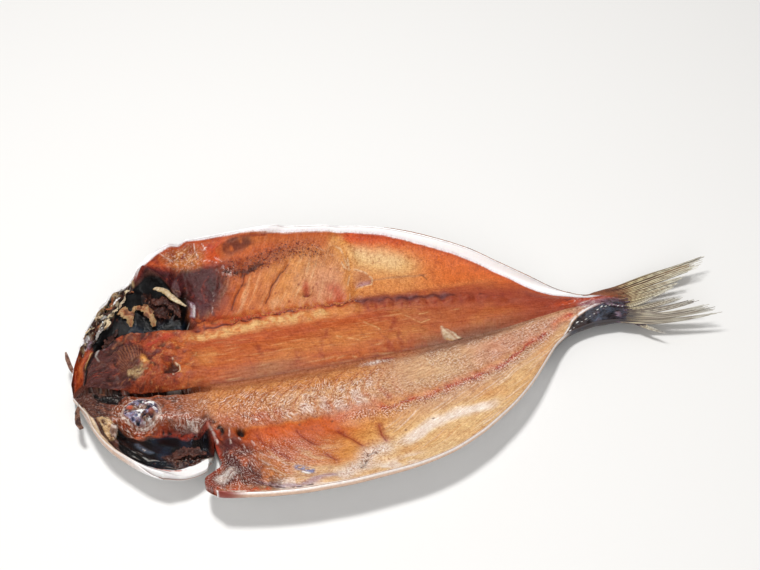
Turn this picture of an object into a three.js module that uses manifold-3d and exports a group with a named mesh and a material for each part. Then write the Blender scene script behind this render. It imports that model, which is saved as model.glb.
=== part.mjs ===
import * as THREE from 'three';
import Module from 'manifold-3d';
import { mergeVertices } from 'three/addons/utils/BufferGeometryUtils.js';

// A dried horse mackerel split from the belly and folded open on its back, skin down, flesh up.
// Millimetres. While it is built, x runs from the snout to the tail fin, and y is negative on the
// near half, which has the split eye, and positive on the far half, which keeps the backbone.

// Driving sizes of the opened fish
const BODY_LENGTH = 199;
const FIN_ROOT = 194;
const FIN_REACH = 43.5;
const FORK_DEPTH = 29;
const TAIL_STEM_START = 168;
const TAIL_STEM_END = 190;
const TAIL_STEM_AXIS = 4.6;
const TAIL_STEM_RADIUS = 3.9;
const TAIL_STEM_FLATNESS = 0.93;
const END_LIFT = 2.4;
const END_LIFT_LENGTH = 17;
const SKIN_SHARE_FLAT = 0.3;
const CURL_POWER = 1.7;

// Thickness of the flesh and bone on the skin
const LOIN = 9.0;
const LOIN_REAR = 7.6;
const BACKBONE_STRIP = 9.6;
const BACKBONE_STRIP_REAR = 7.8;
const BACKBONE_SHARE = 0.4;
const BELLY_WALL = 3.8;
const BELLY_WALL_EDGE = 3.2;
const BELLY_FLAP = 4.6;
const FAR_BRIM = 2.3;
const NEAR_BRIM = 2.0;
const NEAR_BRIM_REAR = 1.2;
const BRIM_BEAD = 1.3;
const HINGE_GROOVE = 2.4;
const THINNEST = 1.2;

// Where the belly hollow and the belly flap begin and end along the body
const HOLLOW_FRONT = 46;
const HOLLOW_REAR = 102;
const HOLLOW_REAR_BOW = 4.5;
const FLAP_REAR = 112;

// Head
const GILL_SHELL = 1.5;
const SKULL = 10.2;
const SKULL_WIDTH = 21;
const CHEEK = 7.6;
const CHEEK_EDGE = -20.5;
const NECK_FAR = 45;
const NECK_NEAR = 42.5;
const NECK_SOFT = 2.4;
const GILL_RIM_FAR = 1.4;
const GILL_RIM_NEAR = 1.6;
const SHOULDER_RIM = 3.2;
const EYE = { x: 22.5, y: -15, long: 6.6, wide: 5.4, bulge: 1.5, groove: 1.1, dent: 0.9 };
const LIP_RADIUS = 0.9;
const LIP_SIDES = 8;
const LIP_TAPER = 0.55;

// Relief
const FLAKE_RELIEF = 0.4;
const FLAKE_SPACING = 6.2;
const FLAP_RELIEF = 0.45;
const STRIP_RELIEF = 0.3;
const HOLLOW_RELIEF = 0.5;
const CRUMBLE = 0.8;
const WALL_ROUND = 0.3;

// Tail fin
const FIN_RAYS = 18;
const FIN_STEPS = 6;
const FIN_ROOT_MIDDLE = 0.7;
const FIN_ROOT_WIDTH = 8.6;
const FIN_ANGLE_NEAR = -0.34;
const FIN_ANGLE_FAR = 0.36;
const FIN_BEND = 0.1;
const FIN_THICK_ROOT = 2.4;
const FIN_THICK_TIP = 1.0;
const FIN_TIP_LIFT = 3.2;
const FIN_WAVE = 1.2;
const RAY_RELIEF = 0.35;

const clamp = (t, lo = 0, hi = 1) => Math.min(hi, Math.max(lo, t));
const mix = (a, b, t) => a + (b - a) * t;
const smooth = (a, b, x) => {
  const t = clamp((x - a) / (b - a));
  return t * t * (3 - 2 * t);
};
const bell = (x, centre, width) => Math.exp(-(((x - centre) / width) ** 2));
const between = (x, a, b, soft) =>
  smooth(a - soft / 2, a + soft / 2, x) * (1 - smooth(b - soft / 2, b + soft / 2, x));

// Smooth curve through stations of [x, value] that never overshoots them.
function through(stations) {
  const n = stations.length;
  const slope = [];
  for (let i = 0; i < n - 1; i++) {
    slope.push((stations[i + 1][1] - stations[i][1]) / (stations[i + 1][0] - stations[i][0]));
  }
  const tangent = stations.map((_, i) => {
    if (i === 0) return slope[0];
    if (i === n - 1) return slope[n - 2];
    const same = slope[i - 1] * slope[i];
    return same > 0 ? (2 * same) / (slope[i - 1] + slope[i]) : 0;
  });
  return (x) => {
    const at = clamp(x, stations[0][0], stations[n - 1][0]);
    let i = 0;
    while (i < n - 2 && at > stations[i + 1][0]) i++;
    const h = stations[i + 1][0] - stations[i][0];
    const t = (at - stations[i][0]) / h;
    const a = (1 + 2 * t) * (1 - t) ** 2 * stations[i][1] + t * (1 - t) ** 2 * h * tangent[i];
    return a + t * t * (3 - 2 * t) * stations[i + 1][1] + t * t * (t - 1) * h * tangent[i + 1];
  };
}

// Outline of the opened fish and the hinge line along its back
const farEdge = through([
  [0, 1.2], [1.2, 5.6], [3, 11], [5, 16.2], [7.5, 21.5], [10, 26.2], [12.8, 30.9], [15.4, 34],
  [19, 37], [24, 40.6], [26.6, 42.6], [28.6, 45.2], [31.5, 47.9], [35, 50.2], [39.5, 52.8], [44, 54],
  [56, 55], [68, 55.5], [80, 54.8], [92, 53.2], [104, 51.2], [115, 49], [127, 44.6], [138.5, 38.7],
  [149.6, 31.9], [160.3, 23.4], [171, 15.8], [182.5, 10], [190, 7.4], [BODY_LENGTH, 7.6],
]);
const nearEdge = through([
  [0, -4.2], [1.5, -8.2], [3.1, -13.8], [4.7, -19.2], [6.5, -24.6], [8.9, -29.9], [11.8, -34.3],
  [15.3, -38.4], [19.3, -42.8], [22.9, -46.1], [26.5, -48.6], [32, -53], [38.2, -57], [41.8, -59.4],
  [46, -61.2], [52.4, -62.6], [62, -64], [74, -64.8], [86, -64.6], [98, -63.5], [110, -61.8],
  [122, -58.4], [135, -51.8], [142.3, -46.6], [149.7, -40.6], [157.3, -32.8], [162.8, -26],
  [167.6, -19.7], [172.3, -13.9], [178.5, -8.8], [184, -6.9], [190, -6], [BODY_LENGTH, -6.2],
]);
const hinge = through([
  [0, -1.6], [10, -3.4], [20, -4.8], [45, -7.5], [56, -8.6], [80, -8.4], [116, -7], [134, -5.2],
  [154, -2.4], [170, -0.2], [184, 0.6], [BODY_LENGTH, 0.7],
]);

// How high the curled-up edge of the skin stands, and how far the ends of the fish lift
const curl = through([
  [0, 3], [4, 6], [10, 8.6], [24, 10.4], [40, 11.6], [55, 12.6], [110, 12.6], [135, 11.8],
  [150, 10.6], [162, 8.6], [172, 6.2], [184, 3], [BODY_LENGTH, 1.6],
]);
const endLift = (x) => END_LIFT * (1 - smooth(0, END_LIFT_LENGTH, x));

const halfOf = (x, v) => (v < 0 ? mix(hinge(x), nearEdge(x), -v) : mix(hinge(x), farEdge(x), v));

function skinHeight(x, y) {
  const middle = (farEdge(x) + nearEdge(x)) / 2;
  const half = (farEdge(x) - nearEdge(x)) / 2;
  const out = clamp((Math.abs(y - middle) / half - SKIN_SHARE_FLAT) / (1 - SKIN_SHARE_FLAT));
  return endLift(x) + curl(x) * out ** CURL_POWER;
}

// Repeatable value noise, for flakes and crumbling
function noise(x, y, seed) {
  const ix = Math.floor(x);
  const iy = Math.floor(y);
  const cell = (i, j) => {
    const s = Math.sin(i * 127.1 + j * 311.7 + seed * 74.7) * 43758.5453;
    return s - Math.floor(s);
  };
  const u = smooth(0, 1, x - ix);
  const w = smooth(0, 1, y - iy);
  const near = mix(cell(ix, iy), cell(ix + 1, iy), u);
  const far = mix(cell(ix, iy + 1), cell(ix + 1, iy + 1), u);
  return 2 * mix(near, far, w) - 1;
}

// Distance from a point to a drawn line
function lineDistance(x, y, line) {
  let best = Infinity;
  for (let i = 0; i < line.length - 1; i++) {
    const [ax, ay] = line[i];
    const [bx, by] = line[i + 1];
    const run = (bx - ax) ** 2 + (by - ay) ** 2;
    const t = clamp(((x - ax) * (bx - ax) + (y - ay) * (by - ay)) / run);
    best = Math.min(best, Math.hypot(x - ax - t * (bx - ax), y - ay - t * (by - ay)));
  }
  return best;
}
const welt = (x, y, line, width, height) =>
  height * Math.exp(-((lineDistance(x, y, line) / width) ** 2));
const mound = (x, y, cx, cy, rx, ry, height) =>
  height * Math.exp(-(((x - cx) / rx) ** 2) - ((y - cy) / ry) ** 2);
const bowl = (x, y, cx, cy, rx, ry, soft) =>
  1 - smooth(1 - soft, 1 + soft, Math.hypot((x - cx) / rx, (y - cy) / ry));

// Bones, ribs, folds and pits of the head: [line, half width, height above the surface round them]
const HEAD_WELTS = [
  [[[31, 43.5], [36, 41.5], [41, 35.5], [44, 31.5]], 1.7, 3.4],
  [[[19, 35], [24, 36.5], [30, 36], [32, 29.5]], 1.7, 1.8],
  [[[10, 15], [13, 24], [19, 33]], 1.3, 1.2],
  [[[12, -21], [17, -31], [25, -38.5], [35, -41]], 1.2, 1.3],
  [[[17, -24], [23, -31], [31, -36], [41, -37]], 1.3, 1.5],
  [[[24, -24], [31, -30], [42, -32.5]], 1.3, 1.3],
  [[[29, -20], [39, -22.5]], 1.6, 1.5],
  [[[8, -17.5], [11, -24]], 2.0, 1.3],
  [[[29, 0.5], [38, 1.2]], 1.0, 0.8],
  [[[4, 6], [8, 12], [10, 17]], 1.8, 2.2],
  [[[20, -5.6], [33, -6.8], [46, -9]], 1.5, -3.2],
  [[[9, -6.5], [15, -8]], 2.4, -2.6],
];

// Ridges and creases of the body
const BODY_WELTS = [
  [[[106, 44], [107.5, 37], [105, 28]], 2.0, 1.2],
  [[[68, 45], [66, 38], [62, 30]], 1.1, -0.7],
  [[[84, 42], [79, 36], [74, 30]], 1.0, -0.6],
  [[[88, 29], [89.5, 30]], 1.4, -1.4],
  [[[48, 53], [56, 50], [68, 53], [82, 55]], 1.8, 1.2],
  [[[46, -26], [48.5, -31]], 1.5, -1.6],
  [[[55, -31], [56, -32]], 1.6, -1.8],
  [[[93, -57], [96, -51]], 1.3, -1.0],
  [[[52, -36], [57, -47], [66, -58], [82, -61]], 2.0, 0.9],
  [[[76, -35], [82, -46]], 1.0, -0.5],
  [[[88, -37], [96, -47]], 1.0, -0.6],
];

function addWelts(x, y, list) {
  let sum = 0;
  for (const [line, width, height] of list) sum += welt(x, y, line, width, height);
  return sum;
}

// Flesh of the near half: a thick loin by the hinge, a thinner flap that lined the belly
function nearFlesh(x, y, a) {
  const loin = mix(LOIN, LOIN_REAR, smooth(120, 178, x));
  const brim = mix(NEAR_BRIM, NEAR_BRIM_REAR, smooth(90, 125, x));
  const fall = smooth(0.28, 1.02, a) ** 0.9;
  const flap = between(x, HOLLOW_FRONT, FLAP_REAR, 16) * smooth(0.33, 0.5, a);
  let t = mix(loin, brim, fall) - HINGE_GROOVE * bell(a, 0, 0.075) * (1 - smooth(150, 185, x));
  t = mix(t, Math.min(t, mix(BELLY_FLAP, brim, smooth(0.6, 1, a))), flap);
  t += flakes(x, y, a);
  const lumps = FLAP_RELIEF * noise(x / 5, y / 3.6, 3) * between(x, 50, 170, 16);
  t += lumps * smooth(0.45, 0.6, a) * (1 - smooth(0.9, 1, a));
  return t + shoulder(x, y);
}

// Flakes of the loin, in bowed rows
function flakes(x, y, a) {
  const bowed = x + 6 * Math.cos((a - 0.3) * 9) + 2 * noise(x / 9, y / 7, 1);
  const rows = 0.6 * Math.sin((bowed * 2 * Math.PI) / FLAKE_SPACING) + 0.8 * noise(x / 4, y / 4, 2);
  return FLAKE_RELIEF * rows * between(a, 0.04, 0.52, 0.12) * between(x, 42, 172, 14);
}

// Lumpy end of the near half behind the gill opening
const shoulder = (x, y) =>
  mound(x, y, 47, -50.5, 7, 7, 2.6) + 0.8 * noise(x / 3, y / 3, 4) * bowl(x, y, 49, -52, 11, 10, 0.3);

// Flesh of the far half: the smooth strip over the backbone, then the hollow that held the belly
function farFlesh(x, y, a) {
  const strip = mix(BACKBONE_STRIP, BACKBONE_STRIP_REAR, smooth(118, 178, x));
  const rear = HOLLOW_REAR + HOLLOW_REAR_BOW * Math.sin(Math.PI * clamp((a - 0.42) / 0.5));
  const hollow = between(x, HOLLOW_FRONT, rear, 5) * smooth(BACKBONE_SHARE + 0.01, BACKBONE_SHARE + 0.14, a);
  let t = mix(strip, FAR_BRIM, smooth(BACKBONE_SHARE + 0.02, 1.02, a) ** 0.85);
  t -= HINGE_GROOVE * bell(a, 0, 0.06) * (1 - smooth(150, 185, x));
  t = mix(t, mix(BELLY_WALL, BELLY_WALL_EDGE, smooth(0.5, 0.95, a)), hollow);
  const broken = bell(a, BACKBONE_SHARE, 0.045) * between(x, 44, 158, 14);
  t += CRUMBLE * broken * (1 + 0.9 * noise(x / 2.6, y / 2.6, 5) + 0.6 * Math.sin(x * 1.05));
  t += STRIP_RELIEF * noise(x / 7, y / 3.5, 6) * between(a, 0.06, 0.4, 0.1);
  t += HOLLOW_RELIEF * noise(x / 3.2, y / 3.2, 7) * hollow * between(a, 0.6, 0.9, 0.15);
  return t + BRIM_BEAD * bell(a, 1, 0.055) * between(x, 34, 188, 12);
}

// Head, far half: the split skull, then the open gill hollow inside its thin cheek
function farHead(x, y, a) {
  const skullEdge = Math.min(10.5 + (x - 6) * 0.75, SKULL_WIDTH) - 2.2 * smooth(30, 46, x);
  const skull = SKULL * smooth(-2, 9, x) * (1 - smooth(skullEdge - 3.4, skullEdge + 2.2, y));
  let t = GILL_SHELL + Math.max(0, skull - GILL_SHELL);
  t += 0.7 * noise(x / 4, y / 4, 8) * smooth(4, 12, x) * (1 - smooth(skullEdge - 2, skullEdge + 3, y));
  t += mound(x, y, 20.5, 9.5, 5, 5, 1.3) + mound(x, y, 31, 9, 6, 4.5, 0.9);
  t -= mound(x, y, 36.5, 2, 2.6, 2.6, 1.8);
  t -= HINGE_GROOVE * bell(a, 0, 0.05) * smooth(4, 12, x);
  t += (GILL_RIM_FAR + 0.5 * noise(x / 4, y / 4, 9)) * bell(a, 0.97, 0.075);
  t += SHOULDER_RIM * smooth(0.74, 0.9, a) * smooth(24, 34, x);
  return t - 2.8 * bowl(x, y, 43, 40, 3, 4.6, 0.35);
}

// Head, near half: the split eye on its bony ledge, then the gill hollow and its pale rim
function nearHead(x, y, a) {
  const ledge = CHEEK_EDGE - 1.5 * smooth(26, 40, x);
  const cheek = CHEEK * smooth(-2, 10, x) * smooth(ledge - 3.6, ledge + 2.4, y);
  let t = GILL_SHELL + Math.max(0, cheek - GILL_SHELL);
  t += 0.5 * noise(x / 3.2, y / 2.8, 10) * smooth(4, 12, x) * smooth(ledge - 2, ledge + 2, y);
  t -= HINGE_GROOVE * bell(a, 0, 0.06) * smooth(4, 12, x);
  t += GILL_RIM_NEAR * bell(a, 0.985, 0.06) * smooth(1, 5, x);
  const toEye = Math.hypot((x - EYE.x) / EYE.long, (y - EYE.y) / EYE.wide);
  t += EYE.bulge * (1 - smooth(0.6, 1.05, toEye));
  return t - EYE.groove * bell(toEye, 1.12, 0.14) - EYE.dent * bell(toEye, 0, 0.3);
}

function fleshThickness(x, y, v) {
  const a = Math.abs(v);
  const far = v >= 0;
  const body = far ? farFlesh(x, y, a) : nearFlesh(x, y, a);
  const head = far ? farHead(x, y, a) : nearHead(x, y, a);
  const neck = far ? NECK_FAR - 1.5 * smooth(0.4, 0.5, a) : NECK_NEAR + 5 * smooth(0.35, 0.65, a);
  const behind = smooth(neck - NECK_SOFT, neck + NECK_SOFT, x);
  const t = mix(head, body, behind) + addWelts(x, y, HEAD_WELTS) + addWelts(x, y, BODY_WELTS);
  return Math.max(t, THINNEST);
}

// Lower and upper height of the fish at a station; the tail stem closes into a round bar
function heights(x, v) {
  const y = halfOf(x, v);
  const low = skinHeight(x, y);
  const high = low + fleshThickness(x, y, v);
  const stem = smooth(TAIL_STEM_START, TAIL_STEM_END, x);
  const round = TAIL_STEM_RADIUS * Math.sqrt(1 - TAIL_STEM_FLATNESS * v * v);
  return [mix(low, TAIL_STEM_AXIS - round, stem), mix(high, TAIL_STEM_AXIS + round, stem)];
}

// Stations along and across: closer together where the relief is finer
const LONG_SPANS = [[0, 46, 30], [46, 150, 60], [150, BODY_LENGTH, 12]];
const NEAR_SHARES = [
  0, 0.035, 0.08, 0.135, 0.19, 0.25, 0.31, 0.37, 0.43, 0.49, 0.56, 0.63, 0.7, 0.77, 0.84, 0.905, 0.96, 1,
];
const FAR_SHARES = [
  0, 0.045, 0.1, 0.16, 0.22, 0.275, 0.325, 0.36, 0.39, 0.42, 0.46, 0.51, 0.575, 0.65, 0.72, 0.79, 0.86, 0.915,
  0.955, 1,
];

function alongStations() {
  const list = [0];
  for (const [from, to, count] of LONG_SPANS) {
    for (let i = 1; i <= count; i++) list.push(mix(from, to, i / count));
  }
  return list;
}

// A skin of triangles being gathered
class Skin {
  constructor() {
    this.points = [];
    this.faces = [];
  }
  point(x, y, z) {
    this.points.push(x, y, z);
    return this.points.length / 3 - 1;
  }
  fan(ring) {
    for (let i = 1; i < ring.length - 1; i++) this.faces.push(ring[0], ring[i], ring[i + 1]);
  }
  band(lower, upper) {
    const n = lower.length;
    for (let i = 0; i < n; i++) {
      const j = (i + 1) % n;
      this.fan([lower[i], lower[j], upper[j], upper[i]]);
    }
  }
}

// Walk round the border of a grid, far side last, as [column, row] pairs
function border(columns, rows) {
  const ring = [];
  for (let i = 0; i < columns; i++) ring.push([i, 0]);
  for (let j = 0; j < rows; j++) ring.push([columns, j]);
  for (let i = columns; i > 0; i--) ring.push([i, rows]);
  for (let j = rows; j > 0; j--) ring.push([0, j]);
  return ring;
}

// Cells of the coarse underside, two fine cells wide, keeping every border point of the fine top
function coarseCell(i, j, columns, rows) {
  const ring = [[i, j]];
  if (j === 0) ring.push([i + 1, j]);
  ring.push([i + 2, j]);
  if (i + 2 === columns) ring.push([i + 2, j + 1]);
  ring.push([i + 2, j + 2]);
  if (j + 2 === rows) ring.push([i + 1, j + 2]);
  ring.push([i, j + 2]);
  if (i === 0) ring.push([i, j + 1]);
  const inner = [i === 0 ? i + 2 : i, j === 0 ? j + 2 : j];
  const start = ring.findIndex(([a, b]) => a === inner[0] && b === inner[1]);
  return ring.slice(start).concat(ring.slice(0, start));
}

// Closed slab between two height grids, with a rounded edge
function slab(place, columns, rows, edgeRound) {
  const skin = new Skin();
  const top = [];
  const low = [];
  for (let i = 0; i <= columns; i++) {
    top.push([]);
    low.push([]);
    for (let j = 0; j <= rows; j++) {
      const [x, y, zLow, zHigh] = place(i, j);
      top[i].push(skin.point(x, y, zHigh));
      low[i].push(skin.point(x, y, zLow));
    }
  }
  for (let i = 0; i < columns; i++) {
    for (let j = 0; j < rows; j++) {
      const ring = [top[i][j], top[i + 1][j], top[i + 1][j + 1], top[i][j + 1]];
      const level = ring.map((p) => skin.points[3 * p + 2]);
      const flatter = Math.abs(level[0] - level[2]) <= Math.abs(level[1] - level[3]);
      skin.fan(flatter ? ring : [ring[1], ring[2], ring[3], ring[0]]);
    }
  }
  for (let i = 0; i < columns; i += 2) {
    for (let j = 0; j < rows; j += 2) {
      skin.fan(coarseCell(i, j, columns, rows).map(([a, b]) => low[a][b]).reverse());
    }
  }
  const ring = border(columns, rows);
  const at = ring.map(([i, j]) => place(i, j));
  const middle = at.map(([x, y, zLow, zHigh], k) => {
    const before = at[(k + at.length - 1) % at.length];
    const after = at[(k + 1) % at.length];
    const run = Math.hypot(after[0] - before[0], after[1] - before[1]) || 1;
    const push = edgeRound * (zHigh - zLow);
    const nx = (after[1] - before[1]) / run;
    const ny = (before[0] - after[0]) / run;
    return skin.point(x + nx * push, y + ny * push, (zLow + zHigh) / 2);
  });
  skin.band(ring.map(([i, j]) => low[i][j]), middle);
  skin.band(middle, ring.map(([i, j]) => top[i][j]));
  return skin;
}

function bodySlab() {
  const xs = alongStations();
  const vs = NEAR_SHARES.slice(1).reverse().map((a) => -a).concat(FAR_SHARES);
  const place = (i, j) => {
    const [low, high] = heights(xs[i], vs[j]);
    return [xs[i], halfOf(xs[i], vs[j]), low, high];
  };
  return slab(place, xs.length - 1, vs.length - 1, WALL_ROUND);
}

// Forked tail fin: rays fan out from the root, longest at the two tips
const finAngle = (t) => mix(FIN_ANGLE_NEAR, FIN_ANGLE_FAR, t);
const finReach = (t) => FIN_REACH - FORK_DEPTH * (1 - Math.abs(2 * t - 1) ** 1.15);

function finSlab() {
  const columns = FIN_STEPS;
  const rows = FIN_RAYS * 2;
  const place = (i, j) => {
    const s = i / columns;
    const t = j / rows;
    const isRay = j % 2 === 0;
    const ragged = 1 - (isRay ? 0 : 0.05) - 0.07 * Math.max(0, noise(t * 17, 3, 11));
    const reach = finReach(t) * mix(1, ragged, s);
    const angle = finAngle(t) - FIN_BEND * (2 * t - 1) * s;
    const x = FIN_ROOT + s * reach * Math.cos(angle);
    const y = FIN_ROOT_MIDDLE + FIN_ROOT_WIDTH * (t - 0.5) + s * reach * Math.sin(angle);
    const mid = TAIL_STEM_AXIS + FIN_TIP_LIFT * s * s * smooth(0, 1, s) + FIN_WAVE * s * Math.sin(t * 5 + 1);
    const relief = (isRay ? 0.5 : -0.5) * RAY_RELIEF * smooth(0, 0.3, s);
    const half = mix(FIN_THICK_ROOT, FIN_THICK_TIP, s) / 2 + relief;
    return [x, y, mid - half, mid + half];
  };
  return slab(place, columns, rows, WALL_ROUND / 3);
}

// Lip bone, a thin bar bent along a line
function bone(line, radius) {
  const skin = new Skin();
  const sides = LIP_SIDES;
  const rings = line.map(([x, y, z], k) => {
    const before = line[Math.max(0, k - 1)];
    const after = line[Math.min(line.length - 1, k + 1)];
    const dir = new THREE.Vector3(...after).sub(new THREE.Vector3(...before)).normalize();
    const side = new THREE.Vector3(0, 0, 1).cross(dir).normalize();
    const up = dir.clone().cross(side);
    const ring = [];
    const r = radius * (k === line.length - 1 ? LIP_TAPER : 1);
    for (let i = 0; i < sides; i++) {
      const turn = (i / sides) * 2 * Math.PI;
      const c = Math.cos(turn) * r;
      const s = Math.sin(turn) * r;
      const at = new THREE.Vector3(x, y, z).addScaledVector(side, c).addScaledVector(up, s);
      ring.push(skin.point(at.x, at.y, at.z));
    }
    return ring;
  });
  for (let k = 0; k < rings.length - 1; k++) skin.band(rings[k], rings[k + 1]);
  skin.fan(rings[0].slice().reverse());
  skin.fan(rings[rings.length - 1]);
  return skin;
}

// Wedge of open air between the gill cover and the shoulder of the near half
const NOTCH = [
  [24, -56], [28.2, -48.9], [34, -48.4], [39.2, -46], [41.9, -43.4], [42.4, -40.2], [46.2, -39.2],
  [46.8, -42.6], [43.2, -46.6], [40.2, -50.4], [39.8, -55], [41.6, -58.8], [42.5, -66], [24, -66],
];

function notchBlock() {
  const skin = new Skin();
  const lower = NOTCH.map(([x, y]) => skin.point(x, y, -5));
  const upper = NOTCH.map(([x, y]) => skin.point(x, y, 30));
  const flat = NOTCH.map(([x, y]) => new THREE.Vector2(x, y));
  const cut = THREE.ShapeUtils.triangulateShape(flat, []);
  const counter = THREE.ShapeUtils.area(flat) > 0;
  for (const [a, b, c] of cut) {
    skin.faces.push(upper[a], upper[b], upper[c], lower[a], lower[c], lower[b]);
  }
  if (!counter) {
    lower.reverse();
    upper.reverse();
  }
  skin.band(lower, upper);
  return skin;
}

function asSolid(wasm, skin) {
  const raw = new THREE.BufferGeometry();
  raw.setAttribute('position', new THREE.Float32BufferAttribute(skin.points, 3));
  raw.setIndex(skin.faces);
  const geometry = mergeVertices(raw, 1e-4);
  const faces = [];
  const index = geometry.index.array;
  for (let i = 0; i < index.length; i += 3) {
    const [a, b, c] = [index[i], index[i + 1], index[i + 2]];
    if (a !== b && b !== c && c !== a) faces.push(a, b, c);
  }
  return new wasm.Manifold(new wasm.Mesh({
    numProp: 3,
    vertProperties: new Float32Array(geometry.attributes.position.array),
    triVerts: new Uint32Array(faces),
  }));
}

function asGeometry(solid) {
  const mesh = solid.getMesh();
  const geometry = new THREE.BufferGeometry();
  geometry.setAttribute('position', new THREE.Float32BufferAttribute(mesh.vertProperties, 3));
  geometry.setIndex(Array.from(mesh.triVerts));
  geometry.computeBoundingBox();
  const box = geometry.boundingBox;
  geometry.translate(-(box.min.x + box.max.x) / 2, -(box.min.y + box.max.y) / 2, -box.min.z);
  geometry.computeVertexNormals();
  return geometry;
}

const FAR_LIP = [[2.6, 6.5, 7.4], [0.6, 11, 8.6], [-0.4, 15.5, 9.4]];
const NEAR_LIP = [[2.2, -8, 6.6], [0.4, -13, 7.6], [1.2, -18.4, 8.6], [3.6, -20.5, 9]];

const wasm = await Module();
wasm.setup();
const fish = asSolid(wasm, bodySlab())
  .subtract(asSolid(wasm, notchBlock()))
  .add(asSolid(wasm, finSlab()))
  .add(asSolid(wasm, bone(FAR_LIP, LIP_RADIUS)))
  .add(asSolid(wasm, bone(NEAR_LIP, LIP_RADIUS)));

const FLESH_COLOUR = new THREE.Color(0.66, 0.33, 0.16);
const flesh = new THREE.MeshStandardMaterial({ color: FLESH_COLOUR, roughness: 0.5, metalness: 0 });
const mesh = new THREE.Mesh(asGeometry(fish), flesh);
mesh.name = 'butterflied_horse_mackerel';

const part = new THREE.Group();
part.name = 'dried_horse_mackerel';
part.add(mesh);
export default part;
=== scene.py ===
import math
import bmesh
import bpy
import numpy as np
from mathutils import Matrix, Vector


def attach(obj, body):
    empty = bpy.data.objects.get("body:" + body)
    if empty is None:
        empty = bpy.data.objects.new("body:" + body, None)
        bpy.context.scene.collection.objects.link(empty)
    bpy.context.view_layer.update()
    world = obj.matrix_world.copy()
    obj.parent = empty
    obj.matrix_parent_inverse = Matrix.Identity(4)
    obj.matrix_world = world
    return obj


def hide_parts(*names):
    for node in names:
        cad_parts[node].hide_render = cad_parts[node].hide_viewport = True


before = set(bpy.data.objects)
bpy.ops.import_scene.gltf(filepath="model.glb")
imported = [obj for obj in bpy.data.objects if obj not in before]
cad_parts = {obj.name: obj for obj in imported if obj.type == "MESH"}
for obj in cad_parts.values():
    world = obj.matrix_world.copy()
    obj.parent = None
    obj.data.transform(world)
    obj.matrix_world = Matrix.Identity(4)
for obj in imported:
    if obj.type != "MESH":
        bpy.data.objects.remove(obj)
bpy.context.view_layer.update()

# The fish is drawn in millimetres on a plan: x from the snout to the tail, y across it, z up.
# y is negative on the near half, which has the split eye, and positive on the half with the backbone.
MM = 0.001
MIDDLE_X = 117.67
MIDDLE_Y = -4.25

# Driving sizes, as in the part
BODY_LENGTH = 199.0
FLAT_SHARE = 0.3
CURL_POWER = 1.7
FAR_BRIM = 2.3
NEAR_BRIM = 2.0
NEAR_BRIM_REAR = 1.2
GILL_SHELL = 1.5
LOIN = 9.0
BACKBONE_STRIP = 9.6
BELLY_WALL = 3.8
SKULL = 10.2
HINGE_GROOVE = 2.4
BACKBONE_SHARE = 0.4
FLAKE_RELIEF = 0.4
MYOMERE_SPACING = 6.2
STEM_START = 168.0
STEM_END = 190.0
STEM_AXIS = 4.6
STEM_RADIUS = 3.9
SKIN_THICK = 0.45
SKIN_BULGE = 0.45
SLEEVE_END = 204.5
NECK = 45.2
EDGE_TUCK = 0.3
UNDERSIDE_BLOCK = 6
RIBBON_STEPS = 70
RIBBON_ROWS = 12
RIM_ROWS = 6
RIM_OUT = 0.2
RIM_WALL = 0.85
RIM_CREST = 0.22
FULL_TURN = 6.2832

# Studio, in metres and watts; the camera is placed on the plan in mm
CAMERA_PLACE = (23.99, -415.1, 491.05)
CAMERA_AIM = (117.03, 33.24, 0.0)
CAMERA_LENS = 85
FLOOR_REACH = 1.6
FLOOR_DROP = 0.0002
LIGHTS = [
    ("key", (-0.14, 0.1, 0.75), 0.13, 4.15, (1.0, 0.99, 0.975)),
    ("fill", (-0.15, -0.75, 0.5), 0.5, 2.1, (1.0, 0.99, 0.98)),
]

# Colours of the fish, as seen in plain light; glint and blue_glint are the tones of painted highlights
TONES = {
    "amber": (190, 95, 46), "amber_deep": (180, 74, 34), "amber_pale": (208, 132, 72),
    "rust": (166, 72, 38), "brick": (142, 52, 36), "red": (178, 58, 38), "orange": (206, 98, 38),
    "orange_red": (206, 78, 32), "ochre": (212, 145, 74), "straw": (220, 176, 116), "cream": (228, 192, 144),
    "ivory": (226, 208, 176), "fat": (236, 222, 212), "white": (252, 251, 251), "glint": (246, 230, 222),
    "pink": (208, 142, 120), "tan": (168, 102, 66), "olive_tan": (178, 150, 108), "grey_tan": (138, 102, 84),
    "loin_tan": (204, 160, 124), "gold_amber": (184, 94, 44),
    "umber": (92, 54, 44), "bark": (58, 34, 30), "maroon": (74, 32, 36), "plum": (104, 58, 62),
    "lilac": (170, 142, 160), "blue_glint": (120, 130, 176), "char": (7, 7, 9), "ink": (24, 36, 52),
    "slate": (80, 88, 102), "silver": (178, 175, 170), "gold": (190, 150, 70),
    "back_blue": (58, 74, 82), "flank": (168, 172, 172), "stem_violet": (150, 122, 136),
    "fin_brown": (112, 76, 56), "fin_khaki": (212, 196, 150), "fin_tip": (232, 228, 212),
    "fin_line": (74, 60, 58),
    "fin_dark": (40, 36, 44), "fin_violet": (74, 58, 72),
}


def tone(name):
    """Linear colour of a named tone."""
    srgb = np.array(TONES[name]) / 255.0
    return np.where(srgb <= 0.04045, srgb / 12.92, ((srgb + 0.055) / 1.055) ** 2.4)


# Small shaping functions on arrays
def mix(a, b, t):
    return a + (b - a) * t


def smooth(a, b, x):
    t = np.clip((x - a) / (b - a), 0.0, 1.0)
    return t * t * (3.0 - 2.0 * t)


def bell(x, centre, width):
    return np.exp(-(((x - centre) / width) ** 2))


def between(x, a, b, soft):
    return smooth(a - soft / 2, a + soft / 2, x) * (1.0 - smooth(b - soft / 2, b + soft / 2, x))


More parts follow.
